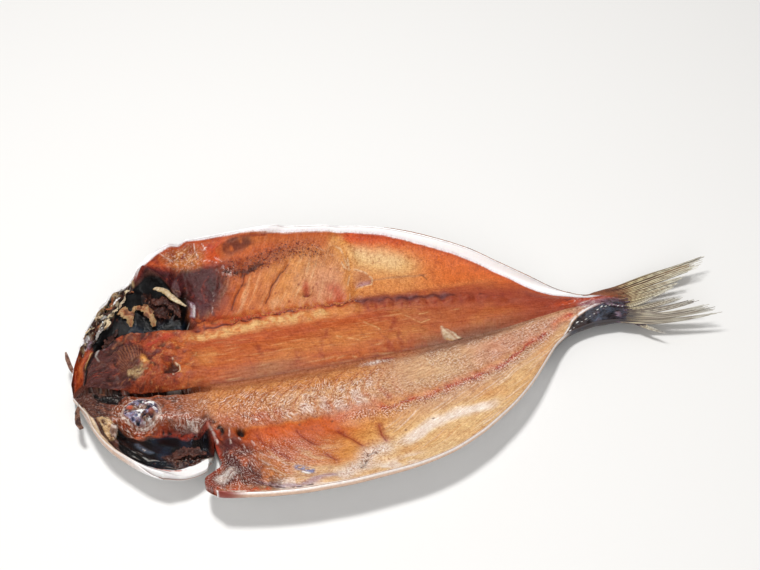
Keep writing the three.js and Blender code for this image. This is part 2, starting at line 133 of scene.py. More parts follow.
def through(stations):
    """Smooth curve through stations of (x, value) that never overshoots them."""
    xs = np.array([s[0] for s in stations], float)
    ys = np.array([s[1] for s in stations], float)
    step = np.diff(xs)
    slope = np.diff(ys) / step
    tangent = np.concatenate([slope[:1], np.zeros(len(xs) - 2), slope[-1:]])
    for i in range(1, len(xs) - 1):
        if slope[i - 1] * slope[i] > 0:
            tangent[i] = 2 * slope[i - 1] * slope[i] / (slope[i - 1] + slope[i])

    def curve(x):
        at = np.clip(np.asarray(x, float), xs[0], xs[-1])
        i = np.clip(np.searchsorted(xs, at, side="right") - 1, 0, len(xs) - 2)
        t = (at - xs[i]) / step[i]
        rise = (1 + 2 * t) * (1 - t) ** 2 * ys[i] + t * (1 - t) ** 2 * step[i] * tangent[i]
        return rise + t * t * (3 - 2 * t) * ys[i + 1] + t * t * (t - 1) * step[i] * tangent[i + 1]

    return curve


def noise(x, y, seed):
    """Repeatable value noise from -1 to 1, one lump to a unit."""
    ix = np.floor(x)
    iy = np.floor(y)

    def cell(i, j):
        s = np.sin(i * 127.1 + j * 311.7 + seed * 74.7) * 43758.5453
        return s - np.floor(s)

    u = smooth(0, 1, x - ix)
    w = smooth(0, 1, y - iy)
    low = mix(cell(ix, iy), cell(ix + 1, iy), u)
    return 2 * mix(low, mix(cell(ix, iy + 1), cell(ix + 1, iy + 1), u), w) - 1


def cloud(x, y, size, seed, layers=3):
    """Noise in several sizes, the largest of the given size in mm."""
    total = 0.0
    for k in range(layers):
        total = total + noise(x * 2**k / size + 13.7 * k, y * 2**k / size - 7.3 * k, seed + k) / 2**k
    return total / 1.6


def squiggle(x, y, size, seed, sharp=0.16):
    """Thin winding lines, 1 on a line and 0 off it."""
    wx = x + 0.5 * size * noise(x / size * 0.7, y / size * 0.7, seed + 5)
    return bell(noise(wx / size, y / size, seed), 0, sharp)


def line_distance(x, y, line):
    best = np.full(np.shape(x), np.inf)
    for (ax, ay), (bx, by) in zip(line[:-1], line[1:]):
        run = (bx - ax) ** 2 + (by - ay) ** 2
        t = np.clip(((x - ax) * (bx - ax) + (y - ay) * (by - ay)) / run, 0, 1)
        best = np.minimum(best, np.hypot(x - ax - t * (bx - ax), y - ay - t * (by - ay)))
    return best


def welt(x, y, line, width, height):
    return height * bell(line_distance(x, y, line), 0, width)


def mound(x, y, cx, cy, rx, ry, height):
    return height * np.exp(-(((x - cx) / rx) ** 2) - ((y - cy) / ry) ** 2)


def bowl(x, y, cx, cy, rx, ry, soft):
    return 1 - smooth(1 - soft, 1 + soft, np.hypot((x - cx) / rx, (y - cy) / ry))


# Outline of the opened fish and the hinge line along its back
far_edge = through([
    (0, 1.2), (1.2, 5.6), (3, 11), (5, 16.2), (7.5, 21.5), (10, 26.2), (12.8, 30.9), (15.4, 34), (19, 37),
    (24, 40.6), (26.6, 42.6), (28.6, 45.2), (31.5, 47.9), (35, 50.2), (39.5, 52.8), (44, 54), (56, 55),
    (68, 55.5),
    (80, 54.8), (92, 53.2), (104, 51.2), (115, 49), (127, 44.6), (138.5, 38.7), (149.6, 31.9), (160.3, 23.4),
    (171, 15.8), (182.5, 10), (190, 7.4), (BODY_LENGTH, 7.6),
])
near_edge = through([
    (0, -4.2), (1.5, -8.2), (3.1, -13.8), (4.7, -19.2), (6.5, -24.6), (8.9, -29.9), (11.8, -34.3),
    (15.3, -38.4),
    (19.3, -42.8), (22.9, -46.1), (26.5, -48.6), (32, -53), (38.2, -57), (41.8, -59.4), (46, -61.2),
    (52.4, -62.6),
    (62, -64), (74, -64.8), (86, -64.6), (98, -63.5), (110, -61.8), (122, -58.4), (135, -51.8),
    (142.3, -46.6),
    (149.7, -40.6), (157.3, -32.8), (162.8, -26), (167.6, -19.7), (172.3, -13.9), (178.5, -8.8), (184, -6.9),
    (190, -6), (BODY_LENGTH, -6.2),
])
hinge = through([
    (0, -1.6), (10, -3.4), (20, -4.8), (45, -7.5), (56, -8.6), (80, -8.4), (116, -7), (134, -5.2),
    (154, -2.4),
    (170, -0.2), (184, 0.6), (BODY_LENGTH, 0.7),
])
curl = through([
    (0, 3), (4, 6), (10, 8.6), (24, 10.4), (40, 11.6), (55, 12.6), (110, 12.6), (135, 11.8), (150, 10.6),
    (162, 8.6), (172, 6.2), (184, 3), (BODY_LENGTH, 1.6),
])

# Where the gill cover ends and the shoulder of the near half starts, by share of the way to the edge
cover_end = through([
    (0, NECK), (0.45, 45.4), (0.6, 44.2), (0.64, 42.4), (0.69, 41.9), (0.77, 39.2), (0.875, 34),
    (0.965, 28.2), (1, 26.4),
])
shoulder_start = through([
    (0, NECK), (0.45, 45.4), (0.59, 46.2), (0.65, 46.8), (0.74, 43.2), (0.84, 40.2), (0.94, 39.8),
    (0.985, 41.6), (1, 43),
])


def across(x, v):
    """Plan y at share v: -1 at the near edge, 0 on the hinge, 1 at the far edge."""
    flare = 1 + 0.25 * smooth(196, SLEEVE_END, x)
    return np.where(v < 0, mix(hinge(x), near_edge(x), -v * flare), mix(hinge(x), far_edge(x), v * flare))


def share_at(x, y):
    """The share v at a plan point."""
    near = (y - hinge(x)) / (hinge(x) - near_edge(x))
    return np.where(y < hinge(x), near, (y - hinge(x)) / (far_edge(x) - hinge(x)))


def skin_height(x, y):
    middle = (far_edge(x) + near_edge(x)) / 2
    half = (far_edge(x) - near_edge(x)) / 2
    out = np.clip((np.abs(y - middle) / half - FLAT_SHARE) / (1 - FLAT_SHARE), 0, 1)
    return 2.4 * (1 - smooth(0, 17, x)) + curl(x) * out**CURL_POWER


# Bones, ribs, folds and pits: (line, half width, height above the surface round them)
HEAD_WELTS = [
    ([(31, 43.5), (36, 41.5), (41, 35.5), (44, 31.5)], 1.7, 3.4),
    ([(19, 35), (24, 36.5), (30, 36), (32, 29.5)], 1.7, 1.8),
    ([(10, 15), (13, 24), (19, 33)], 1.3, 1.2),
    ([(12, -21), (17, -31), (25, -38.5), (35, -41)], 1.2, 1.3),
    ([(17, -24), (23, -31), (31, -36), (41, -37)], 1.3, 1.5),
    ([(24, -24), (31, -30), (42, -32.5)], 1.3, 1.3),
    ([(29, -20), (39, -22.5)], 1.6, 1.5),
    ([(8, -17.5), (11, -24)], 2.0, 1.3),
    ([(29, 0.5), (38, 1.2)], 1.0, 0.8),
    ([(4, 6), (8, 12), (10, 17)], 1.8, 2.2),
    ([(20, -5.6), (33, -6.8), (46, -9)], 1.5, -3.2),
    ([(9, -6.5), (15, -8)], 2.4, -2.6),
]
BODY_WELTS = [
    ([(106, 44), (107.5, 37), (105, 28)], 2.0, 1.2),
    ([(68, 45), (66, 38), (62, 30)], 1.1, -0.7),
    ([(84, 42), (79, 36), (74, 30)], 1.0, -0.6),
    ([(88, 29), (89.5, 30)], 1.4, -1.4),
    ([(48, 53), (56, 50), (68, 53), (82, 55)], 1.8, 1.2),
    ([(46, -26), (48.5, -31)], 1.5, -1.6),
    ([(55, -31), (56, -32)], 1.6, -1.8),
    ([(93, -57), (96, -51)], 1.3, -1.0),
    ([(52, -36), (57, -47), (66, -58), (82, -61)], 2.0, 0.9),
    ([(76, -35), (82, -46)], 1.0, -0.5),
    ([(88, -37), (96, -47)], 1.0, -0.6),
]


def near_flesh(x, y, a):
    loin = mix(LOIN, 7.6, smooth(120, 178, x))
    brim = mix(NEAR_BRIM, NEAR_BRIM_REAR, smooth(90, 125, x))
    fall = smooth(0.28, 1.02, a) ** 0.9
    flap = between(x, 46, 112, 16) * smooth(0.33, 0.5, a)
    t = mix(loin, brim, fall) - HINGE_GROOVE * bell(a, 0, 0.075) * (1 - smooth(150, 185, x))
    t = mix(t, np.minimum(t, mix(BELLY_WALL + 0.8, brim, smooth(0.6, 1, a))), flap)
    bent = x + 6 * np.cos((a - 0.3) * 9) + 2 * noise(x / 9, y / 7, 1)
    flakes = FLAKE_RELIEF * (0.6 * np.sin(bent * 2 * np.pi / MYOMERE_SPACING) + 0.8 * noise(x / 4, y / 4, 2))
    t = t + flakes * between(a, 0.04, 0.52, 0.12) * between(x, 42, 172, 14)
    ripple = smooth(0.45, 0.6, a) * (1 - smooth(0.9, 1, a)) * between(x, 50, 170, 16)
    t = t + 0.45 * noise(x / 5, y / 3.6, 3) * ripple
    return t + mound(x, y, 47, -50.5, 7, 7, 2.6) + 0.8 * noise(x / 3, y / 3, 4) * bowl(x, y, 49, -52, 11, 10,
                                                                                       0.3)


def far_flesh(x, y, a):
    strip = mix(BACKBONE_STRIP, 7.8, smooth(118, 178, x))
    rear = 102 + 4.5 * np.sin(np.pi * np.clip((a - 0.42) / 0.5, 0, 1))
    hollow = between(x, 46, rear, 5) * smooth(BACKBONE_SHARE + 0.01, BACKBONE_SHARE + 0.14, a)
    t = mix(strip, FAR_BRIM, smooth(BACKBONE_SHARE + 0.02, 1.02, a) ** 0.85)
    t = t - HINGE_GROOVE * bell(a, 0, 0.06) * (1 - smooth(150, 185, x))
    t = mix(t, mix(BELLY_WALL, 3.2, smooth(0.5, 0.95, a)), hollow)
    crumble = bell(a, BACKBONE_SHARE, 0.045) * between(x, 44, 158, 14)
    t = t + crumble * (0.8 + 0.7 * noise(x / 2.6, y / 2.6, 5) + 0.5 * np.sin(x * 1.05))
    t = t + 0.3 * noise(x / 7, y / 3.5, 6) * between(a, 0.06, 0.4, 0.1)
    t = t + 0.5 * noise(x / 3.2, y / 3.2, 7) * hollow * between(a, 0.6, 0.9, 0.15)
    return t + 1.3 * bell(a, 1, 0.055) * between(x, 34, 188, 12)


def far_head(x, y, a):
    edge = np.minimum(10.5 + (x - 6) * 0.75, 21) - 2.2 * smooth(30, 46, x)
    skull = SKULL * smooth(-2, 9, x) * (1 - smooth(edge - 3.4, edge + 2.2, y))
    t = GILL_SHELL + np.maximum(0, skull - GILL_SHELL)
    t = t + 0.7 * noise(x / 4, y / 4, 8) * smooth(4, 12, x) * (1 - smooth(edge - 2, edge + 3, y))
    t = t + mound(x, y, 20.5, 9.5, 5, 5, 1.3) + mound(x, y, 31, 9, 6, 4.5, 0.9) - mound(x, y, 36.5, 2, 2.6,
                                                                                        2.6, 1.8)
    t = t - HINGE_GROOVE * bell(a, 0, 0.05) * smooth(4, 12, x)
    t = t + (1.4 + 0.5 * noise(x / 4, y / 4, 9)) * bell(a, 0.97, 0.075)
    t = t + 3.2 * smooth(0.74, 0.9, a) * smooth(24, 34, x)
    return t - 2.8 * bowl(x, y, 43, 40, 3, 4.6, 0.35)


def near_head(x, y, a):
    ledge = -20.5 - 1.5 * smooth(26, 40, x)
    cheek = 7.6 * smooth(-2, 10, x) * smooth(ledge - 3.6, ledge + 2.4, y)
    t = GILL_SHELL + np.maximum(0, cheek - GILL_SHELL)
    t = t + 0.5 * noise(x / 3.2, y / 2.8, 10) * smooth(4, 12, x) * smooth(ledge - 2, ledge + 2, y)
    t = t - HINGE_GROOVE * bell(a, 0, 0.06) * smooth(4, 12, x)
    t = t + 1.6 * bell(a, 0.985, 0.06) * smooth(1, 5, x)
    to_eye = np.hypot((x - 22.5) / 6.6, (y + 15) / 5.4)
    return t + 1.5 * (1 - smooth(0.6, 1.05, to_eye)) - 1.1 * bell(to_eye, 1.12, 0.14) - 0.9 * bell(to_eye, 0,
                                                                                                   0.3)


def flesh_thickness(x, y, v):
    a = np.abs(v)
    far = v >= 0
    body = np.where(far, far_flesh(x, y, a), near_flesh(x, y, a))
    head = np.where(far, far_head(x, y, a), near_head(x, y, a))
    neck = np.where(far, 45 - 1.5 * smooth(0.4, 0.5, a), 42.5 + 5 * smooth(0.35, 0.65, a))
    t = mix(head, body, smooth(neck - 2.4, neck + 2.4, x))
    for line, width, height in HEAD_WELTS + BODY_WELTS:
        t = t + welt(x, y, line, width, height)
    return np.maximum(t, 1.2)


def heights(x, v):
    """Lower and upper height of the fish; the tail stem closes into a round bar."""
    y = across(x, v)
    low = skin_height(x, y)
    high = low + flesh_thickness(x, y, v)
    stem = smooth(STEM_START, STEM_END, x)
    slim = 1 - 0.86 * smooth(190, SLEEVE_END - 1, x) ** 1.2
    round_off = slim * STEM_RADIUS * np.sqrt(1 - 0.93 * v * v)
    return mix(low, STEM_AXIS - round_off, stem), mix(high, STEM_AXIS + round_off, stem)


# Painting and carving of a fine surface
def turned(x, y, degrees):
    """Places along and across a direction at so many degrees."""
    c = math.cos(math.radians(degrees))
    k = math.sin(math.radians(degrees))
    return x * c + y * k, y * c - x * k


class Surface:
    """Points of one side of the fish, with their colour and the fine relief on them."""

    def __init__(self, x, v):
        self.x = x
        self.v = v
        self.a = np.abs(v)
        self.y = across(x, v)
        self.low, self.high = heights(x, v)
        self.wobble_x = 0.9 * self.drift(5, 40)
        self.wobble_y = 0.9 * self.drift(5, 50)
        self.start_layer("tan")

    def start_layer(self, name):
        self.colour = np.broadcast_to(tone(name), self.x.shape + (3,)).copy()
        self.rise = np.zeros(self.x.shape)
        self.wet = np.full(self.x.shape, 0.5)
        # glint_share: how much painted highlight the material lays here, pale glints with painted shade at
        # their rims
        self.glint_share = np.zeros(self.x.shape)
        self.fibre = np.zeros(self.x.shape)
        self.speck = np.zeros(self.x.shape)
        self.along = self.x.copy()
        self.over = self.y.copy()

    def layer(self):
        return [self.colour, self.rise, self.wet, self.glint_share, self.fibre, self.speck, self.along, self.over]

    def blend_layers(self, first, second, share):
        """Second layer over the first, by share; fibres keep the direction of the stronger one."""
        wide = share[..., None]
        self.colour = mix(first[0], second[0], wide)
        self.rise, self.wet, self.glint_share, self.fibre, self.speck = (mix(first[k], second[k],
                                                                      share) for k in range(1, 6))
        self.along = np.where(share > 0.5, second[6], first[6])
        self.over = np.where(share > 0.5, second[7], first[7])

    def lay(self, name, cover):
        self.colour += (tone(name) - self.colour) * np.clip(cover, 0, 1)[..., None]

    def run(self, along, over, amount):
        """Fibres of a zone: where they run, and how strongly they show."""
        amount = np.clip(amount, 0, 1)
        stronger = amount > self.fibre
        self.along = np.where(stronger, along, self.along)
        self.over = np.where(stronger, over, self.over)
        self.fibre = np.where(stronger, amount, self.fibre)

    def glints(self, along, over, amount):
        """Painted highlights: broken pale glints that follow a flow, where the amount runs from 0 to 1."""
        amount = np.clip(amount, 0, 1)
        here = amount > np.maximum(self.glint_share, 0.1)
        self.along = np.where(here, along, self.along)
        self.over = np.where(here, over, self.over)
        self.glint_share = np.maximum(self.glint_share, amount)

    def calm(self, share):
        """Less of fibres, glints and specks."""
        self.fibre = self.fibre * (1 - share)
        self.glint_share = self.glint_share * (1 - share)
        self.speck = self.speck * (1 - share)

    def put(self, shape, name, cover, rise):
        """Colour and height where a shape is."""
        self.lay(name, cover * shape)
        self.rise += rise * shape
        return shape

    def moved(self, wander):
        """The plan points, wandering a little so that edges aren't ruled."""
        return self.x + wander * self.wobble_x, self.y + wander * self.wobble_y

    def drift(self, size, seed, layers=2):
        return cloud(self.x, self.y, size, seed, layers)

    def blots(self, low, high, size, seed, layers=3):
        """Soft blots: 0 where the noise is at the low level, 1 at the high one."""
        return smooth(low, high, self.drift(size, seed, layers))

    def mark(self, line, width, name, cover=1.0, rise=0.0, soft=0.5, wander=1.0, broken=0.0, grain=2.0,
             seed=60):
        """Colour and height along a line, with a wandering edge, and broken up by noise where asked."""
        away = line_distance(*self.moved(wander), line)
        shape = 1 - smooth(width * (1 - soft), width * (1 + soft), away)
        if broken > 0:
            shape = shape * self.blots(broken - 1.0, broken - 0.5, grain, seed, 2)
        self.put(shape, name, cover, rise)

    def patch(self, cx, cy, rx, ry, name, cover=1.0, rise=0.0, soft=0.4, turn=0.0, wander=1.0):
        """A soft oval, turned by so many degrees."""
        px, py = self.moved(wander)
        along, over = turned(px - cx, py - cy, turn)
        self.put(1 - smooth(1 - soft, 1 + soft, np.hypot(along / rx, over / ry)), name, cover, rise)

    def shaded_folds(self, cover, size, seed, dark, pale, rise, turn=0.0, stretch=1.6, way=None):
        """Flowing folds of wet tissue: painted shade, dark in the creases, and painted light, pale along the
        sharp ridges.
        """
        along, over = way or turned(self.x, self.y, turn)
        stir = 0.8 * size * self.drift(2.4 * size, seed)
        u = along / stretch + stir
        w = over + stir
        ridge = 0.0
        for j in range(3):
            ridge = ridge + (1 - 2.6
                             * np.abs(noise(u * 2**j / size, w * 2**j / size, seed + j))) / 2.2 / 1.6**j
        # painted shade in the creases and painted light on the ridges, following the relief raised below
        self.lay(dark, cover * smooth(0.0, -0.6, ridge))
        self.lay(pale, cover * smooth(0.45, 0.85, ridge))
        self.rise += rise * cover * ridge

    def shape(self, corners, soft=0.7, wander=1.0, rough=0.0):
        """1 inside a many-sided outline, falling to 0 across its edge."""
        px, py = self.moved(wander)
        ring = list(corners) + [corners[0]]
        inside = np.zeros(px.shape, bool)
        for (ax, ay), (bx, by) in zip(ring[:-1], ring[1:]):
            crosses = (ay > py) != (by > py)
            inside ^= crosses & (px < (bx - ax) * (py - ay) / (by - ay + 1e-9) + ax)
        away = line_distance(px, py, ring) * np.where(inside, -1, 1)
        return 1 - smooth(-soft, soft, away + rough * self.drift(1.6, 61))

    def area(self, corners, name, cover=1.0, rise=0.0, soft=0.7, wander=1.0, rough=0.0):
        return self.put(self.shape(corners, soft, wander, rough), name, cover, rise)


def streaks(along, over, length, width, seed):
    """Fibres drawn out along one direction, 0 to 1."""
    return 0.5 + 0.5 * cloud(along * width / length, over, width, seed, 3)


def paint_loin(s):
    """Back muscle of the near half: tan by the hinge, pinkish flakes with curly glints outside it."""
    x, y, a = s.x, s.y, s.a
    s.lay("amber_pale", 0.7 * smooth(0.05, 0.14, a) * (1 - 0.5 * smooth(105, 130, x)))
    s.lay("pink", 0.3 * between(a, 0.2, 0.4, 0.1) * smooth(125, 90, x))
    s.lay("ochre", 0.4 * between(a, 0.05, 0.28, 0.1) * smooth(120, 100, x))
    s.lay("cream", 0.4 * between(a, 0.18, 0.38, 0.08) * between(x, 66, 108, 20))
    s.lay("loin_tan", 0.85 * between(a, 0.05, 0.37, 0.12) * between(x, 106, 166, 24))
    s.lay("cream", 0.35 * between(a, 0.1, 0.4, 0.14) * smooth(104, 128, x))
    s.lay("pink", 0.35 * between(a, 0.1, 0.36, 0.1) * smooth(130, 150, x))
    s.lay("grey_tan", 0.85 * smooth(0.16, 0.03, a) * between(x, 124, 168, 16))
    s.lay("pink", 0.4 * between(a, 0.16, 0.4, 0.1) * smooth(136, 150, x))
    arcs = x + 6 * np.cos((a - 0.3) * 9) + 2 * noise(x / 9, y / 7, 1)
    seam = np.abs(np.sin(arcs * np.pi / MYOMERE_SPACING))
    zone = between(a, 0.06, 0.395, 0.06) * between(x, 38, 176, 12)
    front = 1 - smooth(100, 122, x)
    bend = 0.9 * arcs + 1.1 * s.drift(2.6, 21)
    rows = 0.45 + 0.55 * smooth(0.15, 0.6, seam) * s.blots(-0.5, 0.2, 4, 41, 2)
    s.glints(y + 1.2 * s.drift(3, 25), bend,
             zone * front * rows * (0.25 + 0.75 * between(a, 0.14, 0.385, 0.09)))
    side = y * 0.95 - x * 0.28 + 0.6 * s.drift(6, 26)
    s.glints(x * 0.95 + y * 0.28, side,
             0.6 * zone * (1 - front) * smooth(-0.4, 0.2, cloud(x * 0.6, y, 4, 40, 2)))
    s.run(x * 0.95 + y * 0.28, side, 0.6 * zone * (1 - front))
    s.lay("rust", 0.45 * zone * front * smooth(0.35, 0.0, seam))
    pale = between(a, 0.2, 0.385, 0.05) * between(x, 70, 104, 12)
    s.lay("glint", 0.5 * pale * smooth(0.25, 0.9, seam) * s.blots(-0.3, 0.5, 3.4, 22))
    s.rise += 0.3 * zone * smooth(0.0, 0.5, seam) * (0.4 + 0.6 * front)
    s.rise += 0.18 * zone * front * squiggle(x, y, 1.5, 22) + 0.1 * zone * s.drift(0.9, 23)
    s.lay("brick", 0.3 * zone * s.blots(0.1, 0.7, 2.2, 24) * front)
    s.lay("red", 0.35 * between(a, 0.3, 0.39, 0.04) * between(x, 48, 112, 8) * s.blots(0.0, 0.5, 3, 27, 2))
    s.wet += 0.3 * zone


SIDE_LINE = [(47, -26.5), (62, -29), (85, -30), (105, -30.5), (120, -29.5), (135, -25), (150, -20),
             (165, -10.5), (180, -2)]


def paint_side_line(s):
    """Red line along the middle of the near half, with a chain of tiny pale beads below it, painted as
    glints.
    """
    s.mark(SIDE_LINE[2:], 2.0, "pink", 0.5, 0.0, 0.9, broken=0.8, grain=5, seed=64)
    s.mark(SIDE_LINE[3:], 1.3, "orange_red", 0.45, 0.0, 0.9, broken=0.7, grain=4, seed=61)
    s.mark(SIDE_LINE[3:], 0.5, "red", 0.8, -0.12, 0.9, broken=0.65, grain=2.4, seed=62)
    low = line_distance(s.x, s.y + 1.5, SIDE_LINE)
    s.glints(s.x * 1.4, s.y * 1.2 + s.drift(2.4, 63), bell(low, 0, 2) * between(s.x, 92, 172, 14))


def paint_flap(s):
    """Thin belly flap of the near half: orange below the line, ochre, then fatty and pale at the edge."""
    x, y, a = s.x, s.y, s.a
    ragged = a + 0.006 * cloud(x, y, 2.4, 57, 3)
    outer = mix(smooth(0.388, 0.402, ragged), smooth(0.36, 0.44, a), smooth(88, 112, x))
    s.calm(outer)
    s.lay("amber", outer * smooth(108, 92, x))
    s.lay("ochre", outer * (0.75 * smooth(78, 100, x) + 0.5 * smooth(0.5, 0.75, a)))
    s.lay("straw", 0.9 * smooth(0.42, 0.7, a) * smooth(92, 112, x))
    s.lay("cream", 0.5 * smooth(0.46, 0.8, a) * smooth(92, 116, x))
    s.lay("loin_tan", 0.8 * smooth(0.36, 0.46, a) * smooth(0.75, 0.5, a) * smooth(100, 124, x))
    s.lay("loin_tan", 0.5 * smooth(150, 166, x))
    s.lay("orange", 0.9 * outer * smooth(0.6, 0.42, a) * between(x, 50, 96, 10))
    s.lay("ochre", 0.5 * outer * smooth(0.41, 0.396, ragged) * between(x, 50, 100, 10))
    for cx, cy, rx, ry, name, cover in ((65, -32, 3.2, 3.0, "red", 0.35), (79, -33, 3.8, 2.6, "rust", 0.4),
                                        (57, -36, 3.0, 4.0, "rust", 0.6),
                                        (71, -41, 6, 4.4, "amber_deep", 0.5),
                                        (86, -36, 4, 3, "amber_deep", 0.4), (94, -34, 4, 2, "cream", 0.3)):
        s.patch(cx, cy, rx, ry, name, cover, 0.0, 0.9)
    radius = np.hypot(x - 86, y + 32) + 0.8 * s.drift(8, 55)
    turn = np.arctan2(y + 32, x - 86) * 24
    front = outer * smooth(106, 84, x)
    fan = streaks(turn, radius, 9, 1.3, 65) * front
    low = smooth(0.42, 0.58, a)
    s.rise += 0.25 * (fan - 0.4) * front * low
    s.run(turn, radius, front * (0.3 + 0.3 * low))
    s.lay("pink", 0.5 * low * smooth(92, 66, x) * s.blots(-0.4, 0.4, 5, 69, 2))
    s.lay("cream", 0.55 * smooth(0.5, 0.8, fan) * smooth(0.46, 0.64, a) * smooth(96, 74, x))
    s.glints(turn, radius, 0.55 * front * between(a, 0.5, 0.95, 0.14) * smooth(92, 70, x))
    rear = smooth(98, 112, x) * smooth(0.42, 0.55, a)
    slant = x * 0.83 + y * 0.55
    beside = y * 0.83 - x * 0.55 + 0.7 * s.drift(9, 56)
    hatch = streaks(slant, beside, 14, 0.9, 67)
    s.lay("ochre", 0.3 * smooth(0.45, 0.8, hatch) * smooth(0.55, 0.7, a) * smooth(100, 114, x))
    s.lay("amber_pale", 0.35 * rear * s.blots(0.0, 0.6, 12, 54, 2))
    s.lay("fat", 0.4 * rear * smooth(0.62, 0.85, streaks(slant, beside, 18, 0.55, 35)))
    s.rise += 0.06 * (hatch - 0.5) * rear
    s.run(slant, beside, 0.4 * rear)
    fat = [(72, -54), (84, -57.5), (96, -57), (104, -50), (113, -46), (123, -41), (134, -38.5), (143, -38)]
    away = line_distance(x + s.wobble_x, y + s.wobble_y, fat) + 1.2 * s.drift(7, 59)
    s.lay("cream", 0.7 * smooth(5.5, 1.5, away))
    s.lay("fat", 0.8 * smooth(3.2, 0.4, away) * between(x, 108, 143, 9))
    s.glints(slant, beside * 0.7, 0.35 * smooth(3.2, 1.0, away) * smooth(122, 104, x))
    low_edge = smooth(0.84, 0.93, a) * between(x, 56, 128, 10)
    s.lay("cream", 0.7 * low_edge)
    s.lay("fat", 0.7 * low_edge * between(x, 60, 112, 8) * smooth(-0.3, 0.3, cloud(x * 0.4, y, 2.4, 68, 3)))
    s.lay("fat", 0.7 * smooth(0.975, 0.99, a) * smooth(40, 52, x))


SLITS = [
    [(64, -39), (66, -43.5), (69.5, -47.5)], [(74, -34), (77, -39.5), (79, -42)],
    [(81.5, -47.5), (84.5, -51.5)],
    [(88, -36.5), (91.5, -42), (94.5, -46.5)], [(102, -37.5), (101.8, -43), (103, -46.5)],
    [(60, -33), (62, -38)],
]


def paint_flap_marks(s):
    """Rib slits, the torn fold and the stains of the near belly flap."""
    x, y = s.x, s.y
    for slit in SLITS:
        s.mark(slit, 1.4, "rust", 0.6, 0.0, 0.95, wander=0.3)
        s.mark(slit, 0.24, "brick", 1.0, -0.3, 0.9, wander=0.3)
    torn = bell(line_distance(x, y, [(86, -60), (93, -56), (96, -51), (101, -50)]), 0, 3.2)
    s.lay("fat", 0.7 * torn)
    s.glints(x, y + 2 * s.drift(3, 48), torn)
    # Painted shade: the tear and the short split at its end are painted dark.
    s.mark([(92, -57.6), (93.4, -54.6), (95.2, -51.2)], 0.8, "bark", 0.95, -0.3, 0.9, broken=0.9, grain=0.8,
           seed=53)
    s.mark([(95.6, -50.4), (97.4, -51.4), (98.6, -53)], 0.3, "umber", 0.8, -0.2, 0.6, broken=0.9, grain=1.0)
    # Painted reflection: a blue glint with a white streak in it.
    s.mark([(71, -52.4), (73, -53.4), (75, -55)], 1.1, "blue_glint", 0.9, 0.0, 0.6, broken=0.4, grain=1.1)
    s.mark([(72, -54.8), (74.6, -56)], 0.4, "white", 0.9, 0.1, 0.6, broken=0.5, grain=1.0)
    s.mark([(57, -57), (63, -60.5), (70, -62), (82, -60)], 1.3, "lilac", 0.7, 0.0, 0.8, broken=0.35,
           grain=1.4)
    s.mark([(60, -60), (66, -62.6), (74, -63)], 0.4, "bark", 0.8, -0.2, 0.6, broken=0.4, grain=1.4)
    for cx, cy in ((75, -31.6), (87, -32.4), (69, -37.6), (110, -43), (121, -40)):
        s.patch(cx, cy, 0.4, 0.4, "umber", 0.8, -0.1, 0.6)


def paint_shoulder(s):
    """Torn, fibrous shoulder of the near half, behind the gill gap."""
    x, y = s.x, s.y
    here = bowl(x, y, 48, -46, 13, 17, 0.4) * smooth(-22, -27, y)
    s.calm(here)
    s.lay("rust", 0.75 * here)
    s.lay("maroon", 0.75 * here * s.blots(-0.2, 0.4, 5, 71))
    s.mark([(49, -33), (50, -42), (55, -53), (62, -60)], 3.8, "maroon", 0.75, 0.0, 0.8, broken=0.5)
    s.mark([(46, -30), (45, -38), (44.6, -44)], 1.8, "red", 0.7, 0.3)
    s.mark([(43, -46), (41.5, -51), (42, -58)], 2.4, "brick", 0.85, 0.3)
    s.mark([(44, -58.6), (51, -61.4), (58, -62.4)], 2.2, "orange_red", 0.8, 0.3, broken=0.8)
    s.mark([(43, -57), (46, -60.6), (54, -62.6)], 0.5, "fat", 0.8, 0.2, 0.6, broken=0.6, grain=1.4)
    along = x * 0.42 - y * 0.9
    over = x * 0.9 + y * 0.42 + 1.2 * s.drift(5, 72)
    fibre = streaks(along, over, 10, 1.0, 70)
    s.rise += here * 0.5 * (fibre - 0.5)
    s.run(along, over, 0.7 * here)
    s.glints(along, over, 0.6 * here * smooth(-36, -42, y))
    s.lay("bark", 0.5 * here * smooth(0.36, 0.2, fibre))
    for line in ([(50.6, -29), (51.6, -37), (55.6, -45), (61, -51), (66, -55)],
                 [(54, -33), (56, -41), (63, -50), (70, -54.6)],
                 [(57, -34), (60, -42), (68, -51)], [(47.4, -40), (48.6, -46), (52, -52)],
                 [(45.6, -44), (47.2, -50)]):
        s.mark(line, 0.2, "glint", 0.7, 0.25, 0.9, broken=0.75, grain=1.4)
    s.patch(47.4, -51.4, 4.6, 3.6, "maroon", 0.8, 0.0, 0.5, -25)
    s.patch(47.4, -51.4, 3.4, 2.5, "fat", 0.85, 0.5, 0.5, -25, 1.6)
    s.shaded_folds(0.8 * bowl(x, y, 47.4, -51.4, 4, 3.2, 0.4), 1.2, 73, "plum", "white", 0.4, 30)
    # Painted shade: the two pits are painted near-black.
    s.mark([(45.2, -24.5), (46.6, -27), (48.4, -29.6)], 0.9, "char", 0.97, -0.6, 0.5, broken=0.5, grain=1.4)
    s.patch(55.2, -30.8, 1.4, 1.2, "char", 0.97, -0.7, 0.4)
    s.mark([(43.6, -24), (46, -30.6), (46.5, -34)], 0.5, "glint", 0.7, 0.2, 0.6, broken=0.5, grain=1.4)


def paint_near_half(s):
    x, y = s.x, s.y
    paint_loin(s)
    paint_flap(s)
    paint_side_line(s)
    paint_flap_marks(s)
    paint_shoulder(s)
    s.patch(107, -10, 5, 1.3, "fat", 0.6, 0.15, 0.7, 6)
    s.glints(x, 1.4 * s.drift(2.2, 74), 0.9 * bowl(x, y, 107, -10.2, 6.5, 1.8, 0.5))
    s.mark([(110, -8), (113, -8.6)], 0.7, "brick", 0.7, broken=0.6)


